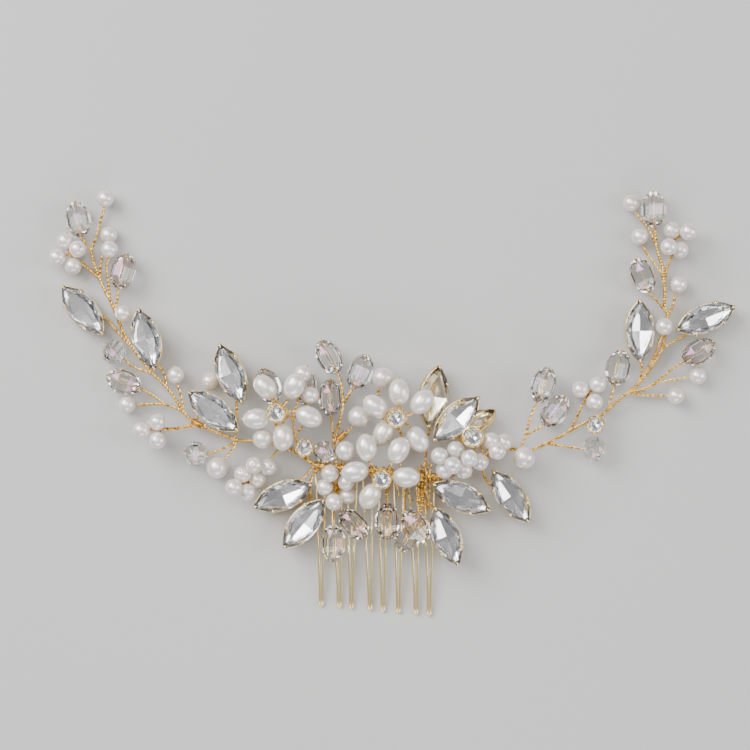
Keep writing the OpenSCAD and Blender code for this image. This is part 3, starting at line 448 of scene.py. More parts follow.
def smooth_path(points, step):
    """Close points on a smooth curve through the given ones."""
    pts = [Vector(p) for p in points]
    pts = [2 * pts[0] - pts[1]] + pts + [2 * pts[-1] - pts[-2]]
    dense = []
    for p0, p1, p2, p3 in zip(pts, pts[1:], pts[2:], pts[3:]):
        count = max(2, int((p2 - p1).length / step) + 1)
        tight = min(1.0, (p2 - p1).length / max((p1 - p0).length, (p3 - p2).length))
        m1 = (p2 - p0) * 0.5 * tight
        m2 = (p3 - p1) * 0.5 * tight
        for i in range(count):
            t = i / count
            dense.append((2 * t**3 - 3 * t**2 + 1) * p1 + (t**3 - 2 * t**2 + t) * m1
                         + (3 * t**2 - 2 * t**3) * p2 + (t**3 - t**2) * m2)
    dense.append(pts[-2])
    return dense


def frames(path):
    """(point, side, up) along a path, turning as little as possible."""
    ahead = (path[1] - path[0]).normalized()
    side = ahead.orthogonal().normalized()
    out = []
    for i, p in enumerate(path):
        ahead = (path[min(i + 1, len(path) - 1)] - path[max(i - 1, 0)]).normalized()
        side = (side - side.dot(ahead) * ahead).normalized()
        out.append((p, side, ahead.cross(side)))
    return out


def tube(shape, path, radius, sides=WIRE_SIDES):
    """Round wire along a path, with rounded ends."""
    over, narrow = 0.35 * radius, 0.55 * radius
    steps = frames(path)
    first = (path[1] - path[0]).normalized()
    last = (path[-1] - path[-2]).normalized()
    stations = [(path[0] - over * first, *steps[0][1:], narrow)]
    stations += [(*step, radius) for step in steps]
    stations += [(path[-1] + over * last, *steps[-1][1:], narrow)]
    circle = [(cos(tau * k / sides), sin(tau * k / sides)) for k in range(sides)]
    shape.stack([[p + r * (c * side + s * up) for c, s in circle] for p, side, up, r in stations])


def walk(path):
    """(point, side, up, distance so far) along a path."""
    run = 0.0
    before = path[0]
    for p, side, up in frames(path):
        run += (p - before).length
        before = p
        yield p, side, up, run


def twisted(shape, points, outside, wires=2, wire_d=WIRE_D, pitch=2.6):
    """Wires twisted round each other along a route, now a little tighter and now looser."""
    path = smooth_path(points, pitch / STEPS_PER_TWIST)
    offset = (outside - wire_d) / 2
    pitch *= random.uniform(0.85, 1.2)
    phase = random.uniform(0, tau)
    sway = random.uniform(0, tau)
    for k in range(wires):
        line = []
        for p, side, up, run in walk(path):
            angle = phase + tau * k / wires + tau * run / pitch + 0.35 * sin(run * 0.9 + sway)
            line.append(p + offset * (cos(angle) * side + sin(angle) * up))
        if len(line) > 2:
            tube(shape, line, wire_d / 2)


def coil(shape, start, end, inside, wire_d, turns):
    """Wire wound round the straight line from start to end."""
    start, end = Vector(start), Vector(end)
    place = along(start, (end - start).normalized())
    length = (end - start).length
    r = inside / 2 + wire_d / 2
    count = turns * STEPS_PER_COIL
    line = []
    for i in range(count + 1):
        a = tau * turns * i / count
        line.append(place @ Vector((r * cos(a), r * sin(a), length * i / count)))
    tube(shape, line, wire_d / 2)


def winding(shape, points, reach, pitch):
    """Fine wire wound loosely round a route, now wider and now tighter."""
    phase = random.uniform(0, tau)
    sway = random.uniform(0, tau)
    line = []
    for p, side, up, run in walk(smooth_path(points, pitch / STEPS_PER_WINDING)):
        angle = phase + tau * run / pitch + 0.9 * sin(run * 0.7 + sway)
        r = reach * (1 + 0.16 * sin(run * 1.9 + sway))
        line.append(p + r * (cos(angle) * side + sin(angle) * up))
    tube(shape, line, FINE_WIRE_D / 2)


# ---- Beads ----
def pearl_profile(size):
    """Round or rice pearl: the bore, a small lip round each of its mouths, and the body between."""
    half, r = size[0] / 2, size[1] / 2
    low = asin((BORE_R + 0.1) / r)
    body = []
    for i in range(PEARL_ROWS + 1):
        a = low + (pi - 2 * low) * i / PEARL_ROWS
        body.append((r * sin(a), -half * cos(a)))
    mouth = body[-1][1]
    lip = [(BORE_R + 0.03, mouth - 0.01), (BORE_R, mouth - 0.09)]
    return [(q, -z) for q, z in reversed(lip)] + body + lip


def pearls(shape, entries):
    for size, centre, direction, _ in entries:
        lathe(shape, along(centre, direction), pearl_profile(size), PEARL_SIDES)


def facet_band(a, b, facets, lean):
    """Faces between the rows that start at a and b: quads, or triangles where one row is turned."""
    faces = []
    for k in range(facets):
        j = (k + 1) % facets
        if lean == 0:
            faces.append((a + k, a + j, b + j, b + k))
        elif lean > 0:
            faces += [(a + k, a + j, b + k), (a + j, b + j, b + k)]
        else:
            faces += [(a + k, a + j, b + j), (a + k, b + j, b + k)]
    return faces


def glass_beads(shape, entries, facets):
    """Cut beads: a band of long facets, and two rows of triangles towards each mouth."""
    for size, centre, direction, _ in entries:
        half, r = size[0] / 2, size[1] / 2
        place = along(centre, direction) @ Matrix.Rotation(random.uniform(0, tau), 4, "Z")
        # (radius, share of the half length, turn in facets) from a mouth to the band
        rows = [(BORE_R, 0.9, 0), (0.3 * r, 0.985, 0), (0.7 * r, 0.74, 0.5), (0.985 * r, 0.3, 0)]
        rows = [(q, -h, turn) for q, h, turn in rows] + rows[::-1]
        verts = []
        for q, h, turn in rows:
            angles = [tau * (k + turn) / facets for k in range(facets)]
            verts += [place @ Vector((q * cos(a), q * sin(a), half * h)) for a in angles]
        faces = []
        for i, row in enumerate(rows):
            j = (i + 1) % len(rows)
            faces += facet_band(i * facets, j * facets, facets, rows[j][2] - row[2])
        shape.add(verts, faces, flat=True)


def bead_base(entry):
    """Where a bead's stem ends, just short of the bead."""
    size, centre, direction, _ = entry
    return centre - (size[0] / 2 + TIP_GAP) * direction


def bead_wires(shape, entries):
    """The wire through each bead: folded over at its far end, or cut off inside one that points up."""
    for size, centre, direction, _ in entries:
        place = along(centre, direction) @ Matrix.Rotation(random.uniform(0, tau), 4, "Z")
        half = size[0] / 2
        line = [Vector((0, 0, z)) for z in (-half - TIP_GAP - 0.5, -half * 0.5, half * 0.5)]
        if direction.z < 0.5:
            for a in range(0, 211, 30):
                fold = radians(a)
                line.append(Vector((0.15 - 0.15 * cos(fold), 0, half + 0.02 + 0.18 * sin(fold))))
        tube(shape, [place @ p for p in line], BEAD_WIRE_D / 2, 8)


# ---- Stones ----
def flank_radius(l, w):
    """Radius of the two arcs that make a pointed outline of this length and width."""
    return (l * l + w * w) / (4 * w)


def pointed_outline(l, w, n):
    """Outline of two arcs of n steps each, with its two points clipped."""
    r = flank_radius(l, w)
    half = asin(l / 2 / r) * POINT_CUT
    out = []
    for s in (1, -1):
        for i in range(n + 1):
            a = half - 2 * half * i / n
            out.append((s * r * sin(a), s * (r * cos(a) - r + w / 2)))
    return out


def raised(outline, z):
    """An outline's points at one height."""
    return [Vector((x, y, z)) for x, y in outline]


def between(outline):
    """Points halfway along an outline's steps."""
    following = outline[1:] + outline[:1]
    return [((a[0] + b[0]) / 2, (a[1] + b[1]) / 2) for a, b in zip(outline, following)]


def crown(outline, heights, scales):
    """(vertices, faces) of the clear part: girdle, two rows of facets and the table.

    heights: lower facets, table, girdle; scales: length and width of the lower facets, then the table.
    """
    n = len(outline)
    low_z, table_z, girdle = heights
    low = [(x * scales[0], y * scales[1]) for x, y in between(outline)]
    table = [(x * scales[2], y * scales[3]) for x, y in outline]
    verts = raised(outline, 0) + raised(low, low_z) + raised(table, table_z) + raised(outline, -girdle)
    faces = [tuple(2 * n + i for i in range(n))]
    for i in range(n):
        j = (i + 1) % n
        faces += [(i, j, n + i), (j, n + j, n + i)]
        faces += [(n + i, n + j, 2 * n + j), (n + i, 2 * n + j, 2 * n + i)]
        faces.append((i, 3 * n + i, 3 * n + j, j))
    return verts, faces


def pavilion(outline, girdle, corners, corner_z, depth):
    """(vertices, faces) of the foiled back: a few large facets that meet under the middle."""
    n, m = len(outline), len(corners)
    verts = raised(outline, -girdle) + raised(corners, -corner_z) + [Vector((0, 0, -depth))]
    middles = raised(between(outline), -corner_z)
    nearest = [min(range(m), key=lambda c: (verts[n + c] - p).length) for p in middles]
    faces = [(n + (c + 1) % m, n + c, n + m) for c in range(m)]
    for i in range(n):
        j = (i + 1) % n
        faces.append((j, i, n + nearest[i]))
        if nearest[i] != nearest[j]:
            faces.append((j, n + nearest[i], n + nearest[j]))
    return verts, faces


def cut_stone(shape, place, front, back, slot):
    """A crown in one material slot, and its pavilion in the next."""
    for k, (verts, faces) in enumerate((front, back)):
        shape.add([place @ v for v in verts], faces, slot + k, True)


def size_of(entry, at):
    """The size that ends some of the stones' entries, or 1."""
    return entry[at] if len(entry) > at else 1


def navette_place(entry):
    roll, pitch, turn = (radians(a) for a in entry[1])
    turned = Matrix.Rotation(turn, 4, "Z")
    turned = turned @ Matrix.Rotation(pitch, 4, "Y") @ Matrix.Rotation(roll, 4, "X")
    return Matrix.Translation(entry[0]) @ turned @ Matrix.Scale(size_of(entry, 3), 4)


def navettes(shape, entries):
    """Long stones, cut in five steps along each flank, with four large facets on the back."""
    outline = pointed_outline(NAVETTE_L, NAVETTE_W, 5)
    tip, flank = NAVETTE_L * 0.4, NAVETTE_W * 0.38
    front = crown(outline, (1.0, CROWN_H, 0.3), (0.88, 0.84, 0.68, 0.6))
    back = pavilion(outline, 0.3, [(tip, 0), (0, flank), (-tip, 0), (0, -flank)], 1.1, 1.8)
    for entry in entries:
        cut_stone(shape, navette_place(entry), front, back, 2 if entry in CHAMPAGNE_NAVETTES else 0)


def claw(shape, place, reach, width, height):
    """A flat claw that stands up from -Z and bends over towards -X."""
    half = width / 2
    # (x, z, half its thickness, half its width, lean in quarter turns)
    rows = [(0, -height, 0.2, half, 0), (0.02, -0.5, 0.2, half, 0), (0, 0.25, 0.2, half, 0.5),
            (-0.3 * reach, 0.75, 0.16, half * 0.85, 0.9), (-reach, 0.85, 0.16, half * 0.5, 0.9)]
    rings = []
    for x, z, thick, w, lean in rows:
        centre = Vector((x, 0, z))
        across = Vector((cos(lean * pi / 2), 0, sin(lean * pi / 2))) * thick
        aside = Vector((0, w, 0))
        corners = (across + aside, across - aside, -across - aside, -across + aside)
        rings.append([place @ (centre + corner) for corner in corners])
    shape.stack(rings)


def navette_tray(shape, place):
    """Open-topped tray that follows the stone's outline."""
    # (growth past the outline, height) from the floor, over the rim and down inside
    rows = [(-0.4, -3.35), (-0.1, -3.1), (0.15, -0.7), (0.05, -0.5), (-0.5, -0.55), (-0.7, -2.9)]
    rings = []
    for grow, z in rows:
        outline = pointed_outline(NAVETTE_L + 1.3 * grow, NAVETTE_W + 0.75 * grow, 13)
        rings.append([place @ v for v in raised(outline, z)])
    shape.stack(rings, inside_out=True)


def navette_claws(shape, place):
    """A claw at each point and two on each flank."""
    arc = flank_radius(NAVETTE_L, NAVETTE_W)
    for s in (1, -1):
        turned = Matrix.Rotation(0 if s > 0 else pi, 4, "Z")
        point = Matrix.Translation((NAVETTE_L / 2 - 0.1, 0, 0))
        claw(shape, place @ turned @ point, 1.1, 0.8, 1.3)
        for x in (-0.24 * NAVETTE_L, 0.24 * NAVETTE_L):
            y = sqrt(arc * arc - x * x) - arc + NAVETTE_W / 2 + 0.26
            outward = s * (pi / 2) - asin(x / arc) * s
            at = Matrix.Translation((x, s * y, 0)) @ Matrix.Rotation(outward, 4, "Z")
            claw(shape, place @ at, 0.95, 0.85, 1.3)


def navette_settings(shape, entries):
    for entry in entries:
        place = navette_place(entry)
        navette_tray(shape, place)
        navette_claws(shape, place)


def rhinestone_place(entry):
    return Matrix.Translation(entry[0]) @ Matrix.Scale(size_of(entry, 2), 4)


def rhinestones(shape, entries):
    """Round stones, with six large facets on the back."""
    angles = [tau * k / RHINESTONE_SIDES for k in range(RHINESTONE_SIDES)]
    outline = [(RHINESTONE_R * cos(a), RHINESTONE_R * sin(a)) for a in angles]
    front = crown(outline, (0.5, 0.88, 0.12), (0.86, 0.86, 0.56, 0.56))
    back = pavilion(outline, 0.12, [(0.62 * x, 0.62 * y) for x, y in outline[::2]], 0.8, 1.5)
    for entry in entries:
        cut_stone(shape, rhinestone_place(entry), front, back, 0)


def claw_cups(shape, entries):
    """Round cups with a rim scalloped once for each claw."""
    # (radius, height, depth of the scallops) from the floor, over the rim and down inside
    rows = [(CUP_R * 0.7, -2.4, 0), (CUP_R + 0.1, -2.2, 0), (CUP_R + 0.22, -1.2, 0),
            (CUP_R + 0.42, -0.55, 0.3), (CUP_R + 0.06, -0.35, 0.3), (CUP_R, -1.9, 0)]
    angles = [tau * k / CUP_SIDES for k in range(CUP_SIDES)]
    for entry in entries:
        place = rhinestone_place(entry)
        shape.stack([[place @ Vector((r * cos(a), r * sin(a), z + wave * cos(CUP_CLAWS * a)))
                      for a in angles] for r, z, wave in rows])
        for k in range(CUP_CLAWS):
            turned = Matrix.Rotation(tau * k / CUP_CLAWS, 4, "Z")
            at = turned @ Matrix.Translation((CUP_R + 0.16, 0, 0)) @ Matrix.Scale(0.7, 4)
            claw(shape, place @ at, 0.85, 1.15, 2.2)


# ---- Comb ----
def prong_x(i):
    return RAIL_CENTRE[0] + (i - (PRONGS - 1) / 2) * PRONG_PITCH


def rail_y(x):
    return RAIL_CENTRE[1] - RAIL_DROP * (x - RAIL_CENTRE[0])


def level_arc(x, y, z, r, degrees):
    """Points round a centre, all at one height."""
    return [Vector((x + r * cos(radians(a)), y + r * sin(radians(a)), z)) for a in degrees]


def prong_path(i):
    """One prong: down its left leg, round its tip, up its right leg, and over to the next prong."""
    tip_t = 1 - (PRONG_TIP_R + PRONG_WIRE_R) / PRONG_L
    drop = PRONG_Z + PRONG_RISE - PRONG_WIRE_R
    x, lean = prong_x(i), PRONG_LEAN[i]

    def rise(t):
        return PRONG_Z + PRONG_RISE * t - drop * t**3

    def leg(s, t):
        half = max(PRONG_TIP_R, LEG_GAP / 2 * (1 - t / LEG_TAPER))
        return Vector((x + s * half + lean * t, rail_y(x) - PRONG_L * t, rise(t)))

    shares = [0, 0.2, 0.4, 0.55, 0.68, 0.76, 0.84, 0.92, tip_t]
    line = [leg(-1, t) for t in shares]
    line += level_arc(x + lean, rail_y(x) - PRONG_L * tip_t, rise(1), PRONG_TIP_R, range(205, 336, 26))
    line += [leg(1, t) for t in reversed(shares)]
    if i < PRONGS - 1:
        over = x + PRONG_PITCH / 2
        r = (PRONG_PITCH - LEG_GAP) / 2
        line += level_arc(over, rail_y(over), PRONG_Z, r, range(155, 20, -26))
    return line


def comb_wire(shape):
    """All prongs, bent from one length of wire."""
    line = [p for i in range(PRONGS) for p in prong_path(i)]
    tube(shape, line, PRONG_WIRE_R, 14)


def comb_rail(shape):
    """The straight cross wire, with rounded ends."""
    half = (PRONGS * PRONG_PITCH + 1) / 2
    reach = half / sqrt(1 + RAIL_DROP**2)
    line = []
    for k in range(RAIL_STEPS + 1):
        x = RAIL_CENTRE[0] + (2 * k / RAIL_STEPS - 1) * reach * 0.985
        line.append(Vector((x, rail_y(x), RAIL_Z)))
    tube(shape, line, RAIL_R, 20)


def lashing(shape, x, low, high, half_width, turns, spacing):
    """Fine wire lashed round the rail and what lies over it, seen along the rail as a long loop."""
    tilt = Matrix.Rotation(-atan(RAIL_DROP), 4, "Z")
    place = Matrix.Translation((x, rail_y(x), 0)) @ tilt
    straight = high - low
    bend = pi * half_width
    around = 2 * straight + 2 * bend
    line = []
    count = turns * STEPS_PER_LASH
    for i in range(count + 1):
        s = (around * turns * i / count) % around
        if s < straight:
            y, z = half_width, low + s
        elif s < straight + bend:
            a = (s - straight) / half_width
            y, z = half_width * cos(a), high + half_width * sin(a)
        elif s < 2 * straight + bend:
            y, z = -half_width, high - (s - straight - bend)
        else:
            a = (s - 2 * straight - bend) / half_width
            y, z = -half_width * cos(a), low - half_width * sin(a)
        line.append(place @ Vector((spacing * (turns * i / count - turns / 2), y, z)))
    tube(shape, line, FINE_WIRE_D / 2)


def rail_binding(shape):
    """Two wide turns between each two prongs, and five close ones at each prong."""
    for i in range(PRONGS - 1):
        lashing(shape, prong_x(i) + PRONG_PITCH / 2, PRONG_Z + 0.3, SPINE_Z, 1.55, 2, 0.3)
    for i in range(PRONGS):
        lashing(shape, prong_x(i), RAIL_Z, SPINE_Z, 1.05, 5, WRAP_PITCH)


# ---- Materials ----
def new_material(name):
    """(material, its shader, its node tree, and the object's own coordinates)"""
    material = bpy.data.materials.new(name)
    material.use_nodes = True
    tree = material.node_tree
    shader = tree.nodes["Principled BSDF"]
    coords = tree.nodes.new("ShaderNodeTexCoord").outputs["Object"]
    return material, shader, tree, coords


def noise(tree, coords, scale, detail=3.0):
    node = tree.nodes.new("ShaderNodeTexNoise")
    node.inputs["Scale"].default_value = scale
    node.inputs["Detail"].default_value = detail
    tree.links.new(coords, node.inputs["Vector"])
    return node.outputs["Fac"]


def ramp(tree, value, *stops):
    """Colours by value: each stop is (place, colour)."""
    node = tree.nodes.new("ShaderNodeValToRGB")
    while len(node.color_ramp.elements) < len(stops):
        node.color_ramp.elements.new(0.5)
    for element, (place, colour) in zip(node.color_ramp.elements, stops):
        element.position = place
        element.color = (*colour, 1)
    tree.links.new(value, node.inputs["Fac"])
    return node.outputs["Color"]


def spread(tree, value, low, high):
    """Value, taken from about 0.3 to 0.7, spread between low and high."""
    node = tree.nodes.new("ShaderNodeMapRange")
    node.inputs["From Min"].default_value = 0.3
    node.inputs["From Max"].default_value = 0.7
    node.inputs["To Min"].default_value = low
    node.inputs["To Max"].default_value = high
    tree.links.new(value, node.inputs["Value"])
    return node.outputs["Result"]


def bump(tree, shader, value, strength, distance):
    node = tree.nodes.new("ShaderNodeBump")
    node.inputs["Strength"].default_value = strength
    node.inputs["Distance"].default_value = distance
    tree.links.new(value, node.inputs["Height"])
    tree.links.new(node.outputs["Normal"], shader.inputs["Normal"])


def gold(name, light, deep, smooth, rough, tone_and_shade_scale=900, metallic=1.0):
    """Polished gold plate, slightly uneven: its colour is mixed by noise between two golds, a drift in
    tone where they lie close and painted shade and glints where they lie far apart.
    """
    material, shader, tree, coords = new_material(name)
    # Where the deep gold is dark brown, this noise paints shade and glints into the colour.
    tone = ramp(tree, noise(tree, coords, tone_and_shade_scale), (0.36, deep), (0.58, light))
    tree.links.new(tone, shader.inputs["Base Color"])
    tree.links.new(spread(tree, noise(tree, coords, 500), smooth, rough), shader.inputs["Roughness"])
    shader.inputs["Metallic"].default_value = metallic
    bump(tree, shader, noise(tree, coords, 700, 2), 0.05, 0.00005)
    return material


def pearl(name, tints, thickness):
    """Coated bead: each one a slightly different tint, with a soft body and a clear, glossy skin."""
    material, shader, tree, coords = new_material(name)
    geometry = tree.nodes.new("ShaderNodeNewGeometry")
    own = ramp(tree, geometry.outputs["Random Per Island"], *zip((0, 0.5, 1), tints))
    cloud = ramp(tree, noise(tree, coords, 330), (0.35, (0.93, 0.91, 0.9)), (0.65, (1, 1, 1)))
    mix = tree.nodes.new("ShaderNodeMix")
    mix.data_type = "RGBA"
    mix.blend_type = "MULTIPLY"
    mix.inputs["Factor"].default_value = 1
    tree.links.new(own, mix.inputs["A"])
    tree.links.new(cloud, mix.inputs["B"])
    tree.links.new(mix.outputs["Result"], shader.inputs["Base Color"])
    tree.links.new(spread(tree, noise(tree, coords, 700), 0.26, 0.36), shader.inputs["Roughness"])
    shader.inputs["Metallic"].default_value = 0.45
    shader.inputs["Coat Weight"].default_value = 0.7
    shader.inputs["Coat Roughness"].default_value = 0.07
    shader.inputs["Coat IOR"].default_value = 1.6
    shader.inputs["Thin Film Thickness"].default_value = thickness
    shader.inputs["Thin Film IOR"].default_value = 1.45
    bump(tree, shader, noise(tree, coords, 900, 2), 0.05, 0.00005)
    return material


def glass(name, tint, ior, film):
    """Clear cut glass, tinted in patches; a film above 0 gives it a coloured sheen."""
    material, shader, tree, coords = new_material(name)
    patches = ramp(tree, noise(tree, coords, 260), (0.3, tint), (0.7, (1, 1, 1)))
    tree.links.new(patches, shader.inputs["Base Color"])
    tree.links.new(spread(tree, noise(tree, coords, 1500), 0.0, 0.02), shader.inputs["Roughness"])
    shader.inputs["Transmission Weight"].default_value = 1
    shader.inputs["IOR"].default_value = ior
    shader.inputs["Thin Film Thickness"].default_value = film
    shader.inputs["Thin Film IOR"].default_value = 1.36
    shader.inputs["Coat Weight"].default_value = 0.6 if film else 0
    shader.inputs["Coat IOR"].default_value = 1.9
    shader.inputs["Coat Roughness"].default_value = 0.02
    return material


def foil(name, light, deep):
    """Mirror foil on the back of a stone."""
    material, shader, tree, coords = new_material(name)
    tone = ramp(tree, noise(tree, coords, 120), (0.35, deep), (0.6, light))
    tree.links.new(tone, shader.inputs["Base Color"])
    tree.links.new(spread(tree, noise(tree, coords, 400), 0.1, 0.15), shader.inputs["Roughness"])
    shader.inputs["Metallic"].default_value = 1
    return material


# The dark brown deep gold of the stems paints shade in noise patches, and the light gold paints glints.
GOLD_STEM = gold("gold_stem", (1.0, 0.7, 0.22), (0.55, 0.3, 0.05), 0.14, 0.28)
GOLD_COMB = gold("gold_comb", (1.0, 0.84, 0.46), (1.0, 0.79, 0.4), 0.2, 0.24, 120, 0.85)
GOLD_SETTING = gold("gold_setting", (1.0, 0.79, 0.38), (0.95, 0.71, 0.3), 0.12, 0.2)
# The bindings' dark brown deep gold paints shade in noise patches, and the light gold paints glints.
GOLD_BINDING = gold("gold_binding", (1.0, 0.62, 0.16), (0.5, 0.24, 0.04), 0.14, 0.28)
IVORY = pearl("pearl_ivory", ((0.93, 0.86, 0.79), (0.96, 0.91, 0.86), (0.91, 0.85, 0.81)), 0)
WHITE_PEARL = pearl(
    "pearl_iridescent", ((0.93, 0.87, 0.87), (0.95, 0.92, 0.88), (0.89, 0.87, 0.92)), 450)
PETAL_PEARL = pearl("pearl_petal", ((0.93, 0.87, 0.78), (0.96, 0.92, 0.86), (0.91, 0.86, 0.82)), 380)
CUT_GLASS = glass("glass_cut", (0.95, 0.88, 0.8), 1.62, 300)
CRYSTAL = glass("crystal_crown", (0.98, 0.98, 0.99), 1.5, 0)
CHAMPAGNE_CRYSTAL = glass("crystal_champagne", (0.99, 0.94, 0.82), 1.5, 0)
SILVER_FOIL = foil("foil_silver", (0.99, 0.98, 0.98), (0.93, 0.92, 0.93))
CHAMPAGNE_FOIL = foil("foil_champagne", (1.0, 0.94, 0.8), (0.95, 0.85, 0.66))
STONE_LOOKS = [CRYSTAL, SILVER_FOIL, CHAMPAGNE_CRYSTAL, CHAMPAGNE_FOIL]


# ---- Pieces ----
def make(name, body, materials, slot, nodes, build, *args):
    """A piece that stands for its CAD nodes, filled by a function of a shape."""
    shape = Shape()
    build(shape, *args)
    shape.piece(name, body, materials, nodes)


def stems(shape, routes, beads, navette_list, rhinestone_list=()):
    """Every twisted stem of one body: two thick routes, thin ones, and twigs to beads and stones."""
    for k, route in enumerate(routes):
        twisted(shape, route, STEM_D if k < 2 else TWIG_D, 3 if k < 2 else 2)
    for entry in beads:
        route = entry[3] + [bead_base(entry)]
        if len(route) > 1:
            twisted(shape, route, TWIG_D)
    for entry in navette_list:
        twisted(shape, entry[2], TWIG_D)
    for entry in rhinestone_list:
        twisted(shape, [entry[1], up_from(entry[0], -2.5 * size_of(entry, 2))], TWIG_D)


def centre_stems(shape):
    """The stems of the comb's own beads, their bundle, the wire wound round it and the spare ends."""
    stems(shape, CENTRE_BRANCHES, CENTRE_BEADS, CENTRE_NAVETTES, CENTRE_RHINESTONES)
    twisted(shape, CENTRE_BUNDLE, 1.6, 5, 0.5, 7)
    for points, reach, pitch in WINDINGS:
        winding(shape, points, reach, pitch)
    for points in STRAYS:
        twisted(shape, points, 0.6, 2, FINE_WIRE_D, 3.5)


def wraps(shape, entries):
    """Tight coils round stretches of stem."""
    for start, end in entries:
        turns = int((Vector(end) - Vector(start)).length / WRAP_PITCH)
        coil(shape, start, end, 1.25, FINE_WIRE_D * 1.1, turns)


CENTRE_BEADS = (PETALS_1 + PETALS_2 + PETALS_3 + CENTRE_PEARLS + CLUSTER_C + CLUSTER_D + CLUSTER_E
                + CENTRE_GLASS + CENTRE_OVALS)
LEFT_BEADS = LEFT_PEARLS + CLUSTER_B + LEFT_ROUNDS + LEFT_OVALS
LEFT_TIP_BEADS = LEFT_TIP_PEARLS + CLUSTER_A + LEFT_TIP_OVALS
RIGHT_BEADS = RIGHT_PEARLS + CLUSTER_F + RIGHT_ROUNDS + RIGHT_OVALS
RIGHT_TIP_BEADS = RIGHT_TIP_PEARLS + CLUSTER_G + RIGHT_TIP_OVALS
TURNING = LEFT_TIP_OVALS + LEFT_OVALS + CENTRE_OVALS + RIGHT_OVALS + RIGHT_TIP_OVALS

random.seed(11)

make("comb_prongs", "comb", [GOLD_COMB], "comb_gold", ["comb_wire"], comb_wire)
make("comb_cross_wire", "comb", [GOLD_COMB], "comb_gold", ["comb_rail"], comb_rail)
make("rail_lashing", "comb", [GOLD_BINDING], "binding_gold", ["rail_binding"], rail_binding)
make("wire_stems_centre", "comb", [GOLD_STEM], "stem_gold", ["centre_stems"], centre_stems)
make("wire_coils_centre", "comb", [GOLD_BINDING], "binding_gold", ["centre_wraps"], wraps, CENTRE_WRAPS)
make("wire_coils_left", "left_vine", [GOLD_BINDING], "binding_gold", ["left_wraps"], wraps, LEFT_WRAPS)

BODIES = {
    "centre": "comb", "left": "left_vine", "left_tip": "left_tip",
    "right": "right_vine", "right_tip": "right_tip",
}
STEMS = {
    "left": (LEFT_BRANCHES, LEFT_BEADS, LEFT_NAVETTES),
    "left_tip": (LEFT_TIP_BRANCHES, LEFT_TIP_BEADS, []),
    "right": (RIGHT_BRANCHES, RIGHT_BEADS, RIGHT_NAVETTES, RIGHT_RHINESTONES),
    "right_tip": (RIGHT_TIP_BRANCHES, RIGHT_TIP_BEADS, []),
}
for side, parts in STEMS.items():
    make(f"wire_stems_{side}", BODIES[side], [GOLD_STEM], "stem_gold", [f"{side}_stems"],
         stems, *parts)

WIRED = (CENTRE_BEADS, LEFT_BEADS, LEFT_TIP_BEADS, RIGHT_BEADS, RIGHT_TIP_BEADS)
for (side, body), entries in zip(BODIES.items(), WIRED):
    make(f"wire_through_beads_{side}", body, [GOLD_STEM], "bead_wire_gold", [f"{side}_bead_wires"],
         bead_wires, entries)

PEARL_GROUPS = {
    "comb": {"centre": CENTRE_PEARLS, "cluster_c": CLUSTER_C, "cluster_d": CLUSTER_D,
             "cluster_e": CLUSTER_E},
    "left_vine": {"left": LEFT_PEARLS, "cluster_b": CLUSTER_B},
    "left_tip": {"left_tip": LEFT_TIP_PEARLS, "cluster_a": CLUSTER_A},
    "right_vine": {"right": RIGHT_PEARLS, "cluster_f": CLUSTER_F},
    "right_tip": {"right_tip": RIGHT_TIP_PEARLS, "cluster_g": CLUSTER_G},
}
for body, groups in PEARL_GROUPS.items():
    for group, entries in groups.items():
        skin = WHITE_PEARL if group == "cluster_e" else IVORY
        make(f"{group}_pearls_bored", body, [skin], "pearl", [f"{group}_pearls"], pearls, entries)
for k, entries in enumerate((PETALS_1, PETALS_2, PETALS_3), 1):
    make(f"flower_{k}_rice_pearls", "comb", [PETAL_PEARL], "petal_pearl", [f"flower_{k}_petals"],
         pearls, entries)

make("cut_beads_centre", "comb", [CUT_GLASS], "round_glass", ["centre_glass_beads"],
     glass_beads, CENTRE_GLASS, 10)
make("cut_beads_left", "left_vine", [CUT_GLASS], "round_glass", ["left_round_beads"],
     glass_beads, LEFT_ROUNDS, 12)
make("cut_bead_right", "right_vine", [CUT_GLASS], "round_glass", ["right_round_bead"],
     glass_beads, RIGHT_ROUNDS, 12)
for k, entry in enumerate(TURNING, 1):
    make(f"cut_oval_{k}", f"glass_bead_{k}", [CUT_GLASS], "oval_glass", [f"glass_oval_{k}"],
         glass_beads, [entry], 10)

STONES = {"left": LEFT_NAVETTES, "centre": CENTRE_NAVETTES, "right": RIGHT_NAVETTES}
for side, entries in STONES.items():
    make(f"navette_crystals_{side}", BODIES[side], STONE_LOOKS, "navette_crystal",
         [f"{side}_navette_stones"], navettes, entries)
    make(f"navette_trays_{side}", BODIES[side], [GOLD_SETTING], "setting_gold",
         [f"{side}_navette_settings"], navette_settings, entries)

for side, plural, entries in (("centre", "s", CENTRE_RHINESTONES), ("right", "", RIGHT_RHINESTONES)):
    make(f"rhinestone{plural}_{side}", BODIES[side], STONE_LOOKS[:2], "rhinestone_crystal",
         [f"{side}_rhinestone{plural}"], rhinestones, entries)
    make(f"rhinestone_cup{plural}_{side}", BODIES[side], [GOLD_SETTING], "cup_gold",
         [f"{side}_claw_cup{plural}"], claw_cups, entries)

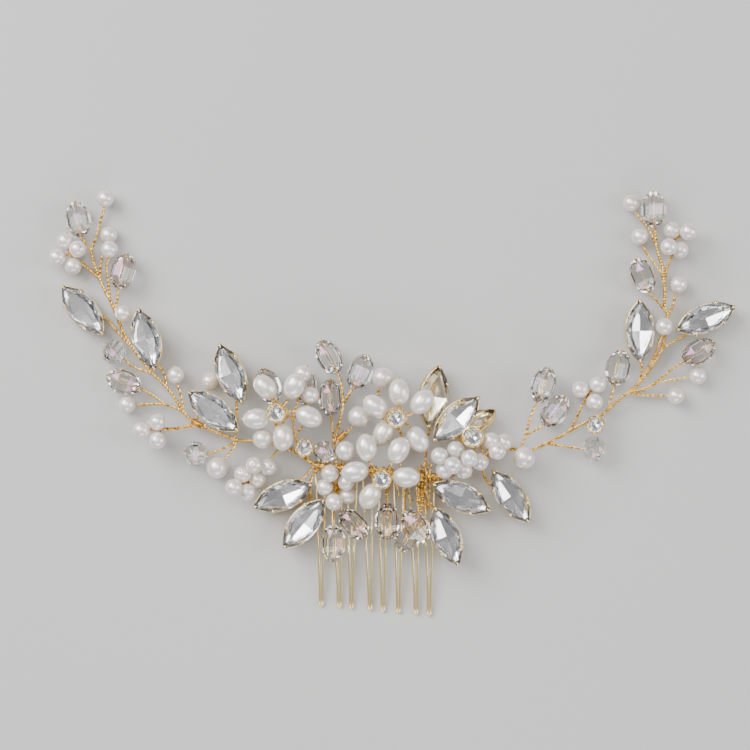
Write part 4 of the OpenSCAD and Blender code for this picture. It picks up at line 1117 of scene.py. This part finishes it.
for joint, (near, far, route) in BENDS.items():
    shape = Shape()
    twisted(shape, route, STEM_D, 3)
    bent = shape.piece(f"wire_{joint}", None, [GOLD_STEM])
    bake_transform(bent)


# ---- Floor, light and camera ----
def floor():
    """A plain pale plate, just under the comb."""
    bpy.ops.mesh.primitive_plane_add(size=4, location=(0, 0, -0.0002))
    plane = bpy.context.object
    plane.name = "studio_floor"
    material, shader, tree, coords = new_material("floor_pale")
    tone = ramp(tree, noise(tree, coords, 3), (0.3, (0.53, 0.525, 0.52)), (0.7, (0.56, 0.555, 0.55)))
    tree.links.new(tone, shader.inputs["Base Color"])
    shader.inputs["Roughness"].default_value = 0.7
    plane.data.materials.append(material)


def softbox(name, place, size, power):
    """A wide lamp that faces the comb and isn't seen itself."""
    light = bpy.data.lights.new(name, "AREA")
    light.shape = "RECTANGLE"
    light.size, light.size_y = size
    light.energy = power
    lamp = bpy.data.objects.new(name, light)
    lamp.location = place
    lamp.rotation_euler = (-Vector(place)).to_track_quat("-Z", "Y").to_euler()
    lamp.visible_camera = False
    bpy.context.scene.collection.objects.link(lamp)


def camera():
    """Straight above the spray, with a little margin round it."""
    data = bpy.data.cameras.new("camera")
    data.lens = 100
    eye = bpy.data.objects.new("camera", data)
    width = 0.2168  # seen at the height of the beads, in metres
    eye.location = (-0.0055, 0.0085, 0.006 + width * data.lens / data.sensor_width)
    bpy.context.scene.collection.objects.link(eye)
    bpy.context.scene.camera = eye


floor()
softbox("softbox_left", (-0.7, 0.55, 0.75), (0.8, 0.7), 19)
softbox("softbox_top", (-0.1, 0.25, 1.1), (0.7, 0.5), 5)
softbox("softbox_right", (0.8, 0.0, 0.55), (0.5, 0.6), 5)
softbox("softbox_front", (0.1, -0.9, 0.5), (0.9, 0.3), 4)
world = bpy.data.worlds.new("studio")
world.use_nodes = True
background = world.node_tree.nodes["Background"]
background.inputs["Color"].default_value = (0.8, 0.81, 0.82, 1)
background.inputs["Strength"].default_value = 0.38
bpy.context.scene.world = world
camera()
